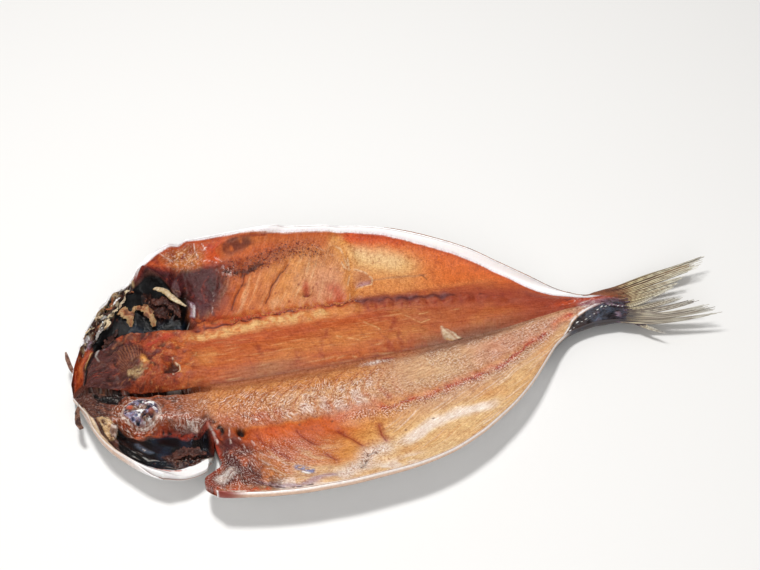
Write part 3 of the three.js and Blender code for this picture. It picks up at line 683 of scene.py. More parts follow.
def paint_strip(s):
    """Smooth amber strip over the backbone of the far half, with fine fibres along it."""
    x, y, a = s.x, s.y, s.a
    s.lay("gold_amber", np.ones_like(x))
    s.lay("amber_deep", 0.5 * bell(y, 9, 3.4) * smooth(130, 112, x))
    s.lay("ochre", 0.3 * between(x, 84, 112, 16) * bell(y, 2, 5))
    s.lay("tan", 0.45 * smooth(100, 128, x) * smooth(18, 13, y))
    s.lay("rust", 0.5 * smooth(126, 150, x) * smooth(24, 16, y))
    s.lay("brick", 0.35 * bell(y, 11.5, 3.4) * between(x, 112, 172, 20))
    s.lay("ochre", 0.3 * smooth(0.0, 0.6, cloud(x * 0.5, y, 6, 77, 3)))
    s.lay("rust", 0.45 * smooth(0.0, 0.6, cloud(x * 0.5, y, 5, 78, 3)))
    grain = streaks(x, y, 9, 0.8, 80)
    s.rise += 0.09 * (grain - 0.5) + 0.1 * s.drift(5, 81)
    s.lay("rust", 0.4 * smooth(0.5, 0.85, grain))
    s.lay("straw", 0.45 * smooth(0.6, 0.95, streaks(x + y, y, 7, 0.6, 82)) * smooth(136, 116, x))
    joint = np.abs(np.sin((x + 0.35 * y + 1.2 * s.wobble_x) * np.pi / MYOMERE_SPACING))
    s.lay("brick", 0.3 * smooth(0.3, 0, joint) * between(x, 60, 150, 10) * s.blots(-0.3, 0.4, 7, 39, 2))
    s.run(x * 0.99 - y * 0.1, y * 0.99 + x * 0.1 + 0.6 * s.drift(7, 76), np.full_like(x, 0.45))
    s.lay("grey_tan", 0.5 * bowl(x, y, 69, -6, 13, 2.6, 0.8))
    s.lay("umber", 0.5 * (1 - smooth(0.2, 2.2, y - hinge(x))) * smooth(172, 150, x))
    s.lay("grey_tan", 0.6 * (1 - smooth(0.5, 5.5, y - hinge(x))) * between(x, 122, 172, 14))
    for line in ([(67, -7), (67.4, -1), (66, 5)], [(79, -6), (79.4, 0)], [(88, -4), (89.5, 2), (92, 7)],
                 [(112, -5), (114, 1), (117, 7)], [(116.4, -6), (117, 0)]):
        s.mark(line, 0.8, "brick", 0.5, -0.05, 0.95, broken=0.7)
    for line in ([(93, -6.6), (97, -5.2), (100, -6.4)], [(41, 0.5), (44, 2), (45, 5)],
                 [(94, 4), (99, 1), (104, -1.4)],
                 [(104, 9), (110, 4), (113, 2)], [(121, 8), (126, 4), (129, 3.6)],
                 [(126, 7.6), (134, 7), (142, 8)]):
        s.mark(line, 0.22, "straw", 0.6, 0.12, 0.8, broken=0.6)


def paint_backbone(s):
    """Grainy cream band, dark red line and crumbs where the backbone was cut away; the line's dark core is
    painted shade along the crease.
    """
    x, y = s.x, s.y
    s.mark([(44, 13.2), (60, 14), (80, 14.6), (104, 14.6)], 2.4, "amber_pale", 0.9, 0.0, 0.7)
    s.mark([(44, 12.6), (58, 13.6), (76, 14.6), (92, 15)], 1.9, "straw", 0.85, 0.12, 0.9, broken=0.75,
           grain=1.3, seed=84)
    line = [(46, 15.4), (54, 15.8), (62, 16.6), (76, 17.4), (90, 17.6), (104, 17.6)]
    # Partly painted shade: the red band is the cut's own colour, and its thin maroon core darkens the crease
    # behind the backbone ridge.
    s.mark(line, 1.3, "red", 0.6, 0.0, 0.8, wander=0.4)
    s.mark(line, 0.3, "maroon", 0.95, -0.35, 0.8, wander=0.35, broken=0.7, grain=3)
    crumbs = between(y, 17.4, 21, 1.5) * between(x, 56, 106, 8)
    s.lay("red", 0.6 * crumbs * s.blots(-0.2, 0.4, 3, 85, 2))
    s.lay("pink", 0.7 * crumbs * s.blots(0.3, 0.6, 1.3, 86, 2))
    s.glints(x, y + 1.2 * s.drift(1.8, 79), 0.3 * crumbs * smooth(66, 80, x))
    s.rise += 0.45 * crumbs * cloud(x, y, 1.5, 87, 3)
    streak = [(104, 17.2), (114, 16.6), (126, 15.4), (137, 14.2), (150, 12.4), (166, 8.6), (178, 5)]
    s.mark(streak, 2.6, "brick", 0.5, 0.0, 0.95)
    s.mark(streak[:4], 1.7, "plum", 0.7, -0.1, 0.95, wander=0.3, broken=0.6, grain=5)
    s.mark(streak[:5], 0.7, "maroon", 0.7, -0.1, 0.9, wander=0.3, broken=0.75, grain=3)
    dot = np.abs(np.sin((x - 3.0) * np.pi / MYOMERE_SPACING * 2)) + 0.3 * noise(x, y, 74)
    below = 13.6 - 2.4 * smooth(110, 150, x)
    s.lay("brick", 0.75 * bell(y, below, 1.0) * between(x, 106, 170, 6) * smooth(0.6, 0.1, dot))


def paint_hollow(s):
    """Belly hollow of the far half: ribbed wall, brown membrane and thin amber wall."""
    x, y = s.x, s.y
    inside = between(x, 44, 105, 4) * smooth(17, 20, y)
    s.calm(inside)
    s.lay("amber_pale", 0.9 * inside)
    s.lay("ochre", 0.5 * inside * smooth(66, 88, x) * smooth(26, 32, y))
    s.lay("amber", 0.75 * inside * smooth(84, 58, x))
    s.lay("rust", 0.75 * inside * smooth(66, 54, x))
    s.lay("lilac", 0.22 * bowl(x, y, 96, 32, 9, 7, 1.0))
    stripes = 0.5 + 0.5 * np.sin(x * 2 * np.pi / 4.5 + 2.2 * cloud(x, y * 0.3, 6, 88, 2))
    wall = inside * smooth(28, 23, y)
    s.lay("red", 0.5 * wall * smooth(0.45, 0.85, stripes))
    s.lay("pink", 0.5 * wall * smooth(0.75, 0.98, 1 - stripes) * smooth(62, 74, x))
    s.rise += 0.35 * wall * (stripes - 0.5)
    slant = x * 0.5 + y * 0.87
    beside = x * 0.87 - y * 0.5 + 0.9 * s.drift(7, 52)
    s.run(slant, beside, 0.4 * inside)
    s.wet += 0.2 * inside
    flow = streaks(slant, beside, 12, 1.1, 90)
    s.rise += 0.14 * inside * (flow - 0.5)
    s.lay("cream", 0.4 * inside * smooth(0.55, 0.85, flow) * smooth(22, 28, y))
    s.lay("brick", 0.4 * inside * smooth(0.42, 0.2, flow) * smooth(86, 62, x))
    for line in ([(60.5, 27), (63, 33), (66.6, 38), (67.6, 41)],
                 [(73, 27.6), (77, 34.5), (80.6, 38.6), (84, 41.4)]):
        s.mark(line, 1.0, "rust", 0.5, 0.0, 0.95, wander=0.4)
        s.mark(line, 0.17, "maroon", 0.95, -0.3, 0.8, wander=0.4)
    # Painted shade: the small pit is painted dark.
    s.patch(88.6, 28.8, 1.3, 0.8, "bark", 0.95, -0.8, 0.5)
    s.patch(88.6, 31, 1.4, 2.6, "red", 0.7, 0.0, 0.8)
    s.mark([(98, 22), (100.6, 26), (99, 29)], 2.0, "red", 0.6, 0.0, 0.9)
    for x_spot, y_spot in ((91.5, 30.8), (93, 31.4), (77.5, 31), (68, 26), (86, 33), (99, 37), (82, 27)):
        s.patch(x_spot, y_spot, 0.4, 0.35, "brick", 0.8, -0.1)
    s.mark([(104, 20), (105.6, 30), (106.4, 36), (104.6, 44), (101, 50)], 2.2, "ochre", 0.6, 0.3, 0.9)
    for line in ([(102.6, 17.8), (103.6, 24), (105.2, 31), (106, 38)], [(105.4, 36), (104, 43), (98, 50)],
                 [(106, 33), (102, 41), (94, 47)]):
        s.mark(line, 0.18, "ivory", 0.6, 0.15, 0.8, broken=0.75, grain=3)
    s.mark([(96, 17.8), (100, 18.6), (103, 19.8)], 0.5, "glint", 0.8, 0.3, 0.6, broken=0.5, grain=1.4)


def paint_membrane(s):
    """Finely speckled band along the outer side of the hollow, and maroon lining in front of it."""
    x, y = s.x, s.y
    s.mark([(58, 50), (72, 49.5), (86, 50), (98, 48)], 2.8, "amber", 0.8, 0.0, 0.8)
    s.mark([(66, 47.5), (72, 47.5), (78, 48.5)], 1.6, "orange", 0.6, 0.0, 0.8)
    away = line_distance(x + 0.8 * s.wobble_x, y + s.wobble_y,
                         [(58, 43), (68, 43.5), (78, 45.4), (88, 46.6), (99, 43.5)])
    band = smooth(5.6, 1.0, away) * smooth(-0.6, 0.1, cloud(x, y, 5, 91, 3) + 0.5)
    s.lay("rust", 0.65 * band * (1 - 0.6 * smooth(80, 98, x)))
    s.speck = np.maximum(s.speck, band * mix(0.95, 0.5, smooth(76, 98, x)))
    s.rise += 0.25 * band * cloud(x, y, 1.2, 93, 3)
    s.speck = np.maximum(s.speck, 0.45 * bowl(x, y, 90, 37, 15, 9, 0.8) * s.blots(-0.2, 0.5, 3, 92, 2))
    s.mark([(60.5, 42.5), (64, 41.5), (68, 41.5), (74, 43.2)], 0.8, "bark", 0.85, -0.25, 0.8, broken=0.6,
           grain=1.4)
    s.mark([(66.4, 37.4), (67.6, 41.4)], 1.0, "bark", 0.85, -0.3, 0.9, broken=0.6)
    s.glints(x, 1.4 * s.drift(2, 94), 0.7 * bowl(x, y, 61, 42.6, 4, 2.2, 0.5))
    lining = bowl(x, y, 50, 38.5, 9.5, 10.5, 0.4)
    s.lay("maroon", 0.97 * lining)
    s.lay("plum", 0.6 * lining * s.blots(-0.1, 0.4, 4, 95))
    s.rise += 0.2 * lining * s.drift(3, 95)
    s.calm(lining)
    s.lay("bark", 0.3 * lining)
    s.shaded_folds(0.9 * lining, 1.8, 36, "bark", "brick", 0.3, 70, 2.6)
    s.mark([(44, 46), (50, 45.6), (60, 45.2), (66, 46)], 1.4, "brick", 0.8, 0.3, broken=0.5)
    s.mark([(46, 46.4), (53, 48.4), (60, 49.8), (70, 51.4)], 1.9, "maroon", 0.75, 0.0, 0.9, broken=0.5)
    s.mark([(60, 51.5), (70, 53.2), (80, 52.6)], 0.4, "umber", 0.85, -0.2, broken=0.5)
    s.mark([(46, 18), (48, 26), (51, 32)], 3.2, "maroon", 0.75, 0.0, 0.8, broken=0.7)
    s.shaded_folds(0.8 * bowl(x, y, 50, 24, 6, 9, 0.5), 1.8, 245, "maroon", "tan", 0.25, 80)
    s.mark([(53.4, 27), (54, 32), (54.4, 37)], 0.14, "glint", 0.5, 0.1, 0.9, broken=0.8, grain=1.0)
    # Painted highlight: a lilac and white glint on the lining.
    s.mark([(46, 24.6), (46.6, 30)], 0.9, "lilac", 0.9, 0.3, 0.6, broken=0.45, grain=1.0)
    s.mark([(46.4, 25), (47, 29.6)], 0.45, "white", 0.9, 0.2, broken=0.25, grain=0.9)
    paint_pelvis(s)


def paint_pelvis(s):
    """Orange, folded flesh round the pelvic bones at the front of the belly edge."""
    x, y = s.x, s.y
    here = between(x, 27, 62, 5) * smooth(44.5, 47.5, y)
    s.calm(here)
    s.lay("amber", 0.95 * here)
    s.lay("orange_red", 0.8 * here * s.blots(-0.2, 0.3, 7, 57, 2))
    s.lay("brick", 0.8 * here * s.blots(0.0, 0.4, 4, 56))
    s.patch(41.6, 50, 3.6, 3.4, "brick", 0.85, -0.2, 0.6)
    s.patch(54, 51.5, 5, 1.8, "red", 0.5)
    swirl = bowl(x, y, 46.4, 48.8, 6.5, 3.6, 0.6)
    s.lay("ochre", 0.5 * swirl)
    s.shaded_folds(0.9 * swirl, 1.5, 246, "brick", "cream", 0.4, 25, 1.8)
    s.shaded_folds(0.6 * here, 2.4, 247, "maroon", "amber_pale", 0.3, 20)
    s.run(x * 0.9 + y * 0.4, y * 0.9 - x * 0.4 + s.drift(4, 51), 0.5 * here)
    s.glints(x * 0.9 + y * 0.4, y * 0.9 - x * 0.4 + s.drift(3, 51), 0.4 * swirl)
    for line in ([(50, 52.6), (51, 49.6), (53.4, 47.2), (58, 45.6)], [(54, 53), (55.6, 49.4), (60, 46.4)],
                 [(36, 51.6), (40, 48.8), (44, 46.6)], [(52.6, 51), (54, 50.6), (55.6, 51.4)]):
        s.mark(line, 0.14, "glint", 0.8, 0.2, 0.9, broken=0.5, grain=1.6)
    s.wet += 0.2 * here


def paint_tail_flesh(s):
    """Flesh of the far half behind the hollow: clear cream patch, orange-red outer band, brown centre."""
    x, y, a = s.x, s.y, s.a
    rear = smooth(104, 108, x) * smooth(17, 20, y)
    s.calm(rear)
    s.lay("amber_pale", rear)
    s.lay("orange", 0.85 * rear * smooth(124, 142, x) * smooth(14, 22, y))
    s.mark([(108, 40), (116, 36), (124, 32.5)], 5.6, "straw", 0.85, 0.0, 0.9)
    s.mark([(110, 41), (117, 37.4), (122, 34.6)], 3.2, "cream", 0.6, 0.0, 0.95)
    s.mark([(112, 26.5), (122, 26), (132, 25.5)], 0.5, "grey_tan", 0.4, 0.0, 0.9)
    s.mark([(102, 49.5), (112, 48), (124, 44), (136, 38.5), (150, 29.5), (162, 20)], 4.8, "orange", 0.95, 0.0,
           0.9)
    s.mark([(109, 48), (116, 46.5), (126, 43.5)], 2.4, "orange_red", 0.9, 0.0, 0.9)
    s.mark([(113, 47.4), (119, 45.8)], 1.4, "red", 0.5, 0.0, 0.95)
    s.mark([(98, 50), (101, 50)], 2.4, "orange", 0.7, 0.0, 0.8)
    window = s.shape([(106.4, 33), (110, 31.2), (113, 28), (111.4, 25), (106.4, 25)], 0.6)
    s.lay("tan", 0.7 * window)
    s.lay("lilac", 0.55 * window * smooth(28, 25, y))
    s.rise -= 0.3 * window
    s.mark([(106.6, 33), (110, 31.4), (113.2, 28), (112, 24.6), (106, 24.4)], 0.24, "ivory", 0.6, 0.15, 0.8,
           broken=0.5)
    s.mark([(130.5, 26), (131.6, 24.6), (132.4, 23.4)], 0.25, "umber", 0.7, -0.1)
    side = x * 0.98 - y * 0.2 + 0.5 * s.drift(6, 49)
    s.run(x * 0.2 + y * 0.98, side, 0.3 * smooth(104, 112, x))
    fine = streaks(x * 0.2 + y * 0.98, side, 5, 0.7, 98)
    s.lay("rust", 0.3 * smooth(0.5, 0.85, fine) * smooth(104, 112, x) * smooth(24, 16, y))
    s.rise += 0.07 * (fine - 0.5) * smooth(104, 112, x)
    s.lay("rust", 0.6 * smooth(146, 164, x) * smooth(0.86, 0.6, a))
    s.lay("brick", 0.5 * smooth(158, 176, x) * smooth(0.7, 0.4, a))
    s.area([(132.6, 0.6), (134, -0.8), (137.6, -3.6), (139.8, -4.8), (136, -5), (132.8, -4.4), (132, -2)],
           "ivory", 0.75,
           0.5, 0.35, 0.5, 0.5)
    s.mark([(132.8, 0), (134, -2), (136.6, -4.6)], 0.3, "tan", 0.7, -0.1, 0.8)
    s.mark([(133, -4.8), (138, -5.8), (144, -5.2)], 0.2, "straw", 0.7, 0.1)


belly_rim_width = through([(28, 2.4), (37, 1.7), (45, 0.7), (56, 0.8), (70, 1.3), (84, 1.9), (100, 2.0),
                           (120, 2.4),
                           (140, 3.0), (158, 3.4), (172, 3.6), (184, 3.4), (192, 3.0), (204, 2.0)])


def paint_belly_rim(s):
    """White belly skin turned up along the outer edge of the far half."""
    x, y, a = s.x, s.y, s.a
    half = np.maximum(far_edge(x) - hinge(x), 4)
    inner = 1 - belly_rim_width(x) / half * (1 + 0.1 * cloud(x, y, 6, 99, 3))
    step = 0.2 / half
    rim = smooth(inner - step, inner + step, a) * smooth(27, 31, x)
    s.lay("amber_deep", 0.6 * bell(a, inner - 3 * step, 4 * step) * smooth(34, 40, x))
    rim = rim * smooth(194, 190, x)
    s.lay("white", rim)
    # Painted shade: a lilac-grey band along the inner border of the white rim.
    s.lay("lilac", 0.3 * rim * bell(a, inner + 2 * step, 3 * step))
    s.rise = mix(s.rise, 0.15, rim)
    s.calm(rim)


dark_skin_line = through([(170, -22), (174.6, -12.4), (178.3, -7.6), (180.7, -4.8), (185.8, -2.2), (192, 0),
                          (199, 1.8),
                          (206, 2.4)])


def paint_stem_skin(s):
    """Tail stem: violet, streaky flesh narrows to a point, with dark skin along its near side."""
    x, y = s.x, s.y
    skin = smooth(181, 190, x + 2.5 * cloud(x * 0.3, y, 1.6, 101, 3))
    s.calm(skin)
    s.lay("stem_violet", 0.75 * skin)
    s.lay("orange_red", 0.6 * bell(y, 3.4, 1.1) * between(x, 176, 194, 8))
    s.shaded_folds(0.9 * smooth(172, 188, x), 1.0, 250, "maroon", "glint", 0.15, 16, 6.0)
    s.lay("rust", 0.8 * smooth(193, 199, x) * smooth(3.0, 5.2, y))
    s.lay("fin_violet", 0.85 * smooth(191, 198, x + 2 * cloud(x * 0.3, y, 1.2, 102, 2)) * smooth(5, 2.6, y))
    s.lay("fin_brown", 0.7 * smooth(198, 203, x) * smooth(3.0, 5.2, y))
    s.shaded_folds(0.8 * smooth(194, 200, x), 0.7, 251, "bark", "olive_tan", 0.2, 4, 8.0)
    line = dark_skin_line(x)
    dark = smooth(0.35, -0.35, y - line + 0.25 * s.wobble_y) * smooth(174, 177,
                                                                      x) * (1 - 0.5 * smooth(196, 203, x))
    s.lay("fin_dark", 0.95 * dark)
    s.lay("slate", 0.6 * dark * smooth(0.0, 0.5, cloud(x * 0.4, y, 1.6, 103, 3)))
    s.lay("lilac", 0.5 * dark * smooth(186, 196, x) * smooth(0.1, 0.5, cloud(x * 0.4, y, 1.1, 104, 2)))
    s.shaded_folds(0.7 * dark, 1.0, 253, "char", "slate", 0.12, 16, 3.0)
    s.lay("white", 0.9 * bell(y - line, 0.6, 0.4) * between(x, 172, 190, 4) * s.blots(-0.7, 0.0, 2, 254, 2))


def paint_far_half(s):
    paint_strip(s)
    paint_tail_flesh(s)
    paint_hollow(s)
    paint_backbone(s)
    paint_membrane(s)


def paint_far_head(s):
    """Brown skull, black gill hollow and a crumpled silvery rim."""
    s.lay("umber", np.ones_like(s.x))
    paint_skull(s)
    paint_far_gill(s)
    paint_far_gill_edge(s)
    paint_far_rim(s)


def paint_skull(s):
    """Skull of the far half: maroon folds that spread from the jaw in front, amber towards the neck."""
    x, y = s.x, s.y
    low = 1 - smooth(17, 20, y)
    reach = np.hypot(x, y + 2)
    turn = np.arctan2(y + 2, x + 0.5) * 11
    rear = smooth(26, 38, x + 2 * s.wobble_x)
    s.lay("maroon", 0.6 * low * smooth(2, 8, x))
    s.lay("rust", 0.8 * low * smooth(-0.4, 0.1, cloud(x, y, 6, 111, 3) + 0.06 * (x - 24)))
    s.lay("gold_amber", 0.85 * low * rear)
    s.lay("brick", 0.7 * low * rear * s.blots(0.0, 0.4, 4, 110))
    s.shaded_folds(low * smooth(3, 8, x) * (1 - rear), 1.5, 113, "bark", "brick", 0.6, stretch=4.0,
             way=(reach, turn))
    s.shaded_folds(0.5 * low * smooth(3, 8, x) * (1 - rear), 0.9, 47, "bark", "tan", 0.3, stretch=3.0,
             way=(reach, turn))
    s.shaded_folds(0.6 * low * smooth(14, 24, x), 2.4, 108, "maroon", "ochre", 0.4, -20, 1.3)
    s.shaded_folds(0.5 * low * smooth(22, 34, x), 1.1, 46, "brick", "straw", 0.25, 25, 2.0)
    s.wet += 0.35 * low
    s.run(x * 0.95 - y * 0.3, y * 0.95 + x * 0.3, 0.4 * low * rear)
    dome = s.shape([(17, 5), (17.6, 9.6), (20.6, 12.4), (25.6, 12), (26.6, 7), (23.6, 0), (18.4, -0.6)], 1.4,
                   1.4)
    fan = np.sin(np.arctan2(y + 5.5, x - 24) * 92 + 2.0 * cloud(x, y, 3, 112, 3))
    s.calm(dome)
    s.lay("umber", 0.75 * dome)
    s.lay("tan", 0.6 * dome * smooth(0.1, 0.9, fan) * s.blots(-0.5, 0.3, 2.4, 243, 2))
    s.rise += 0.1 * dome * fan + 0.4 * dome
    s.patch(27, 4.6, 1.1, 2.0, "ochre", 0.95, 0.35, 0.6, 14, 1.8)
    s.patch(26.8, 4.0, 0.4, 0.7, "straw", 0.8, 0.1, 0.8)
    lobe = s.area([(20.6, -1), (22.6, 1.6), (26, 3), (27.6, 0.6), (25, -2)], "olive_tan", 0.8, 0.3, 0.8, 1.6,
                  0.8)
    s.shaded_folds(0.8 * lobe, 1.2, 242, "umber", "cream", 0.3, 30)
    for cx, cy, rx, ry, name in ((31, 7.6, 2.2, 1.0, "maroon"), (33.6, 11, 1.8, 0.8, "bark"),
                                 (30, 12.6, 2.8, 0.8, "red"),
                                 (39, 9, 1.0, 0.8, "bark"), (40.6, 6.6, 0.9, 0.7, "maroon"),
                                 (36, 14, 2.6, 1.4, "red")):
        s.patch(cx, cy, rx, ry, name, 0.75, -0.2, 0.7, 20, 1.5)
    # Painted shade: the notch is painted dark brown.
    s.area([(32.6, -2), (34, -0.6), (36.4, 4.2), (38.2, 1.4), (37.8, -2)], "bark", 0.9, -0.8, 0.5, 0.8, 0.6)
    s.mark([(36.4, 4.6), (38.4, 1.2), (38.4, -1.6), (35.6, -2.6)], 0.22, "ivory", 0.85, 0.3, 0.6, 0.6,
           broken=0.7, grain=1.8)
    plate = s.area([(0.6, 0.4), (1.6, 7.6), (5.4, 17.4), (9, 14), (8.4, 9.6), (5.4, 5.4), (4.4, 0.6)], "rust",
                   0.97, 0.3, 0.5)
    s.calm(plate)
    s.area([(2.2, 1.6), (3.4, 8), (6, 14), (8, 12), (6.2, 8), (4.4, 4)], "amber", 0.7, 0.15, 0.9)
    s.shaded_folds(0.6 * plate, 1.6, 105, "brick", "amber_pale", 0.2, 70, 4.0)
    s.mark([(4.6, 2), (6, 5.6), (8.6, 9.8), (9.3, 13.6)], 0.16, "straw", 0.8, 0.1, 0.7, 0.4, broken=0.7,
           grain=2)
    s.mark([(5, 0.2), (6.6, 5.2), (9.2, 9.2), (10.2, 14)], 0.4, "char", 0.9, -0.5, 0.6)
    s.mark([(10.8, 6.6), (9.8, 9), (11.2, 11.4)], 0.3, "silver", 0.8, 0.2, 0.8, broken=0.5, grain=0.9)
    s.mark([(12, 6), (16.4, 11.6), (22.4, 16.8), (27.4, 19.4), (33, 19.4)], 1.9, "umber", 0.85, 0.4, 0.9,
           broken=0.9)
    s.mark([(13, 13), (18, 17), (24, 20)], 1.2, "plum", 0.7, 0.2, 0.9, broken=0.8)
    s.mark([(16, 13), (22, 17.6), (27, 19.6)], 0.5, "tan", 0.6, 0.2, 0.9, broken=0.6)
    s.mark([(28, 20), (36, 19.8), (43, 18.6)], 0.2, "glint", 0.8, 0.1, 0.8, broken=0.5, grain=1.2)


def paint_far_gill(s):
    """Black, glossy hollow with crumpled brown shreds in it."""
    x, y = s.x, s.y
    left = s.shape([(9.4, 12.6), (8.6, 18), (10.6, 23), (15, 28.6), (20, 34), (25, 38), (24, 20), (19, 17.2),
                    (13.4, 12.6)], 0.5)
    hollow = s.shape([(20, 21), (19, 32), (25, 38.6), (31, 41.8), (37, 41), (42, 37), (45.2, 32), (45.8, 25),
                      (43.4, 20), (36, 20.4), (31, 21), (26, 19.4)], 0.5)
    black = np.maximum(left, hollow)
    s.lay("char", black)
    s.calm(black)
    s.shaded_folds(0.8 * left * s.blots(-0.1, 0.4, 5, 109), 1.6, 109, "char", "umber", 0.5, 50, 2.4)
    # Painted sheen: blue-black patches on the lower part of the hollow.
    s.lay("ink", 0.8 * hollow * s.blots(0.0, 0.5, 6, 114) * smooth(31, 24, y))
    s.rise = mix(s.rise, 0.35 * s.drift(5, 116), black)
    s.wet += 0.6 * black
    s.mark([(37, 20.8), (41, 20.4), (44, 21.6)], 0.35, "silver", 0.8, 0.1, 0.8, broken=0.4, grain=0.9)
    shreds = s.shape([(29, 30.5), (31, 36), (38, 36), (43, 32), (41, 28.5), (33, 28.5)], 1.4, 1.6, 1.2)
    s.lay("bark", 0.95 * shreds)
    s.shaded_folds(shreds, 1.3, 106, "char", "umber", 0.8, -30)
    s.shaded_folds(0.8 * shreds, 0.9, 38, "char", "tan", 0.4, 40)


def paint_far_gill_edge(s):
    """Maroon bridge over the hollow and the torn holes in it."""
    x, y = s.x, s.y
    bridge = s.area([(24.6, 39.4), (31, 45.6), (39.3, 46.4), (50, 45.8), (50, 36), (46.6, 26), (45.4, 33),
                     (41, 39.6),
                     (33, 42.6), (28, 41)], "maroon", 0.95, 0.4, 0.6)
    s.calm(bridge)
    s.shaded_folds(0.8 * bridge, 1.8, 256, "bark", "rust", 0.3, 10, 2.4)
    s.mark([(27, 42), (33, 44.8), (44, 45.2)], 0.8, "brick", 0.7, 0.2, 0.8, broken=0.7)
    # Painted shade: the two torn holes are painted near-black.
    s.area([(40.6, 34.8), (43.6, 37.8), (46.8, 33), (45.6, 29.8), (42.4, 30.6)], "char", 0.98, -1.0, 0.4, 0.5)
    s.area([(36.2, 38.6), (39.4, 40), (41.2, 36.2), (38.6, 35.6)], "char", 0.97, -0.7, 0.4, 0.5)
    s.mark([(40.6, 39.6), (44.6, 38.2), (47.4, 33.4)], 0.22, "tan", 0.8, 0.3, 0.7, 0.5, broken=0.8)
    # Painted highlight: a lilac and white glint at the edge of the hollow.
    s.mark([(45.6, 30), (46.6, 27.6), (46, 24.4)], 0.8, "lilac", 0.9, 0.4, 0.7, broken=0.55, grain=0.9)
    s.mark([(45.8, 29.6), (46.5, 27), (46, 24.8)], 0.4, "white", 0.9, 0.2, 0.7, broken=0.3, grain=0.8)
    s.lay("amber", 0.9 * smooth(45.4, 47.4, y) * smooth(28, 32, x))
    paint_pelvis(s)


def paint_far_rim(s):
    """Thin, crumpled silver skin of the gill cover, then a smooth white lens with an orange spot."""
    x, y, a = s.x, s.y, s.a
    rim = s.shape([(4, 12), (6.2, 17.6), (8.4, 19.4), (11, 24.6), (14.6, 28.6), (18.4, 33), (23, 36.8),
                   (27.4, 40.4), (27, 48),
                   (20, 44), (10, 30), (3, 16)], 0.4, 1.5, 0.8)
    upper = smooth(17, 22, y)
    s.calm(rim)
    s.lay("bark", 0.95 * rim)
    s.lay("olive_tan", 0.7 * rim * s.blots(-0.1, 0.2, 4, 119))
    s.shaded_folds(rim * upper, 1.2, 117, "char", "ivory", 0.7, 50, 2.8)
    s.shaded_folds(0.8 * rim * upper, 0.8, 45, "char", "silver", 0.4, 35, 2.0)
    s.shaded_folds(0.9 * rim * (1 - upper), 1.1, 118, "maroon", "white", 0.3, 70, 2.6)
    s.mark([(12.6, 24.6), (14.4, 27.4), (17.6, 30.2), (20, 34)], 0.5, "ivory", 0.85, 0.5, 0.8, broken=0.5,
           grain=1.6)
    s.mark([(15, 25.6), (16.4, 27.6), (15.4, 29)], 0.3, "silver", 0.9, 0.5, 0.7)
    # Painted highlight: a lilac and white glint on the rim.
    s.patch(7.6, 18, 1.0, 2.4, "lilac", 0.85, 0.0, 0.7, -25, 1.6)
    s.mark([(5.8, 15.4), (8, 20)], 0.4, "white", 0.85, 0.1, 0.8, broken=0.5, grain=1.0)
    s.lay("white", 0.95 * smooth(0.972, 0.984, a) * smooth(5, 9, x) * smooth(30, 24, x))
    lens = s.shape([(24, 41), (27.4, 45.6), (33.4, 51.4), (39, 55), (30, 54), (22, 46)], 0.35, 0.5)
    s.lay("white", lens)
    s.lay("silver", 0.3 * lens * s.blots(0.0, 0.6, 3, 99, 2))
    s.rise += 0.3 * lens
    s.patch(29.2, 46.6, 0.9, 2.5, "rust", 0.95, -0.15, 0.4, -42, 0.3)
    s.mark([(33.6, 50.2), (34.6, 51.4)], 0.4, "tan", 0.8, 0.0, 0.6, 0.3)


white_rim_inner = [(3.4, -9), (5.0, -15.4), (7.8, -22.2), (12.2, -30.8), (17.4, -37.4), (22, -41.4),
                   (26, -43.4),
                   (31.2, -44), (37, -42), (42.6, -38.4)]


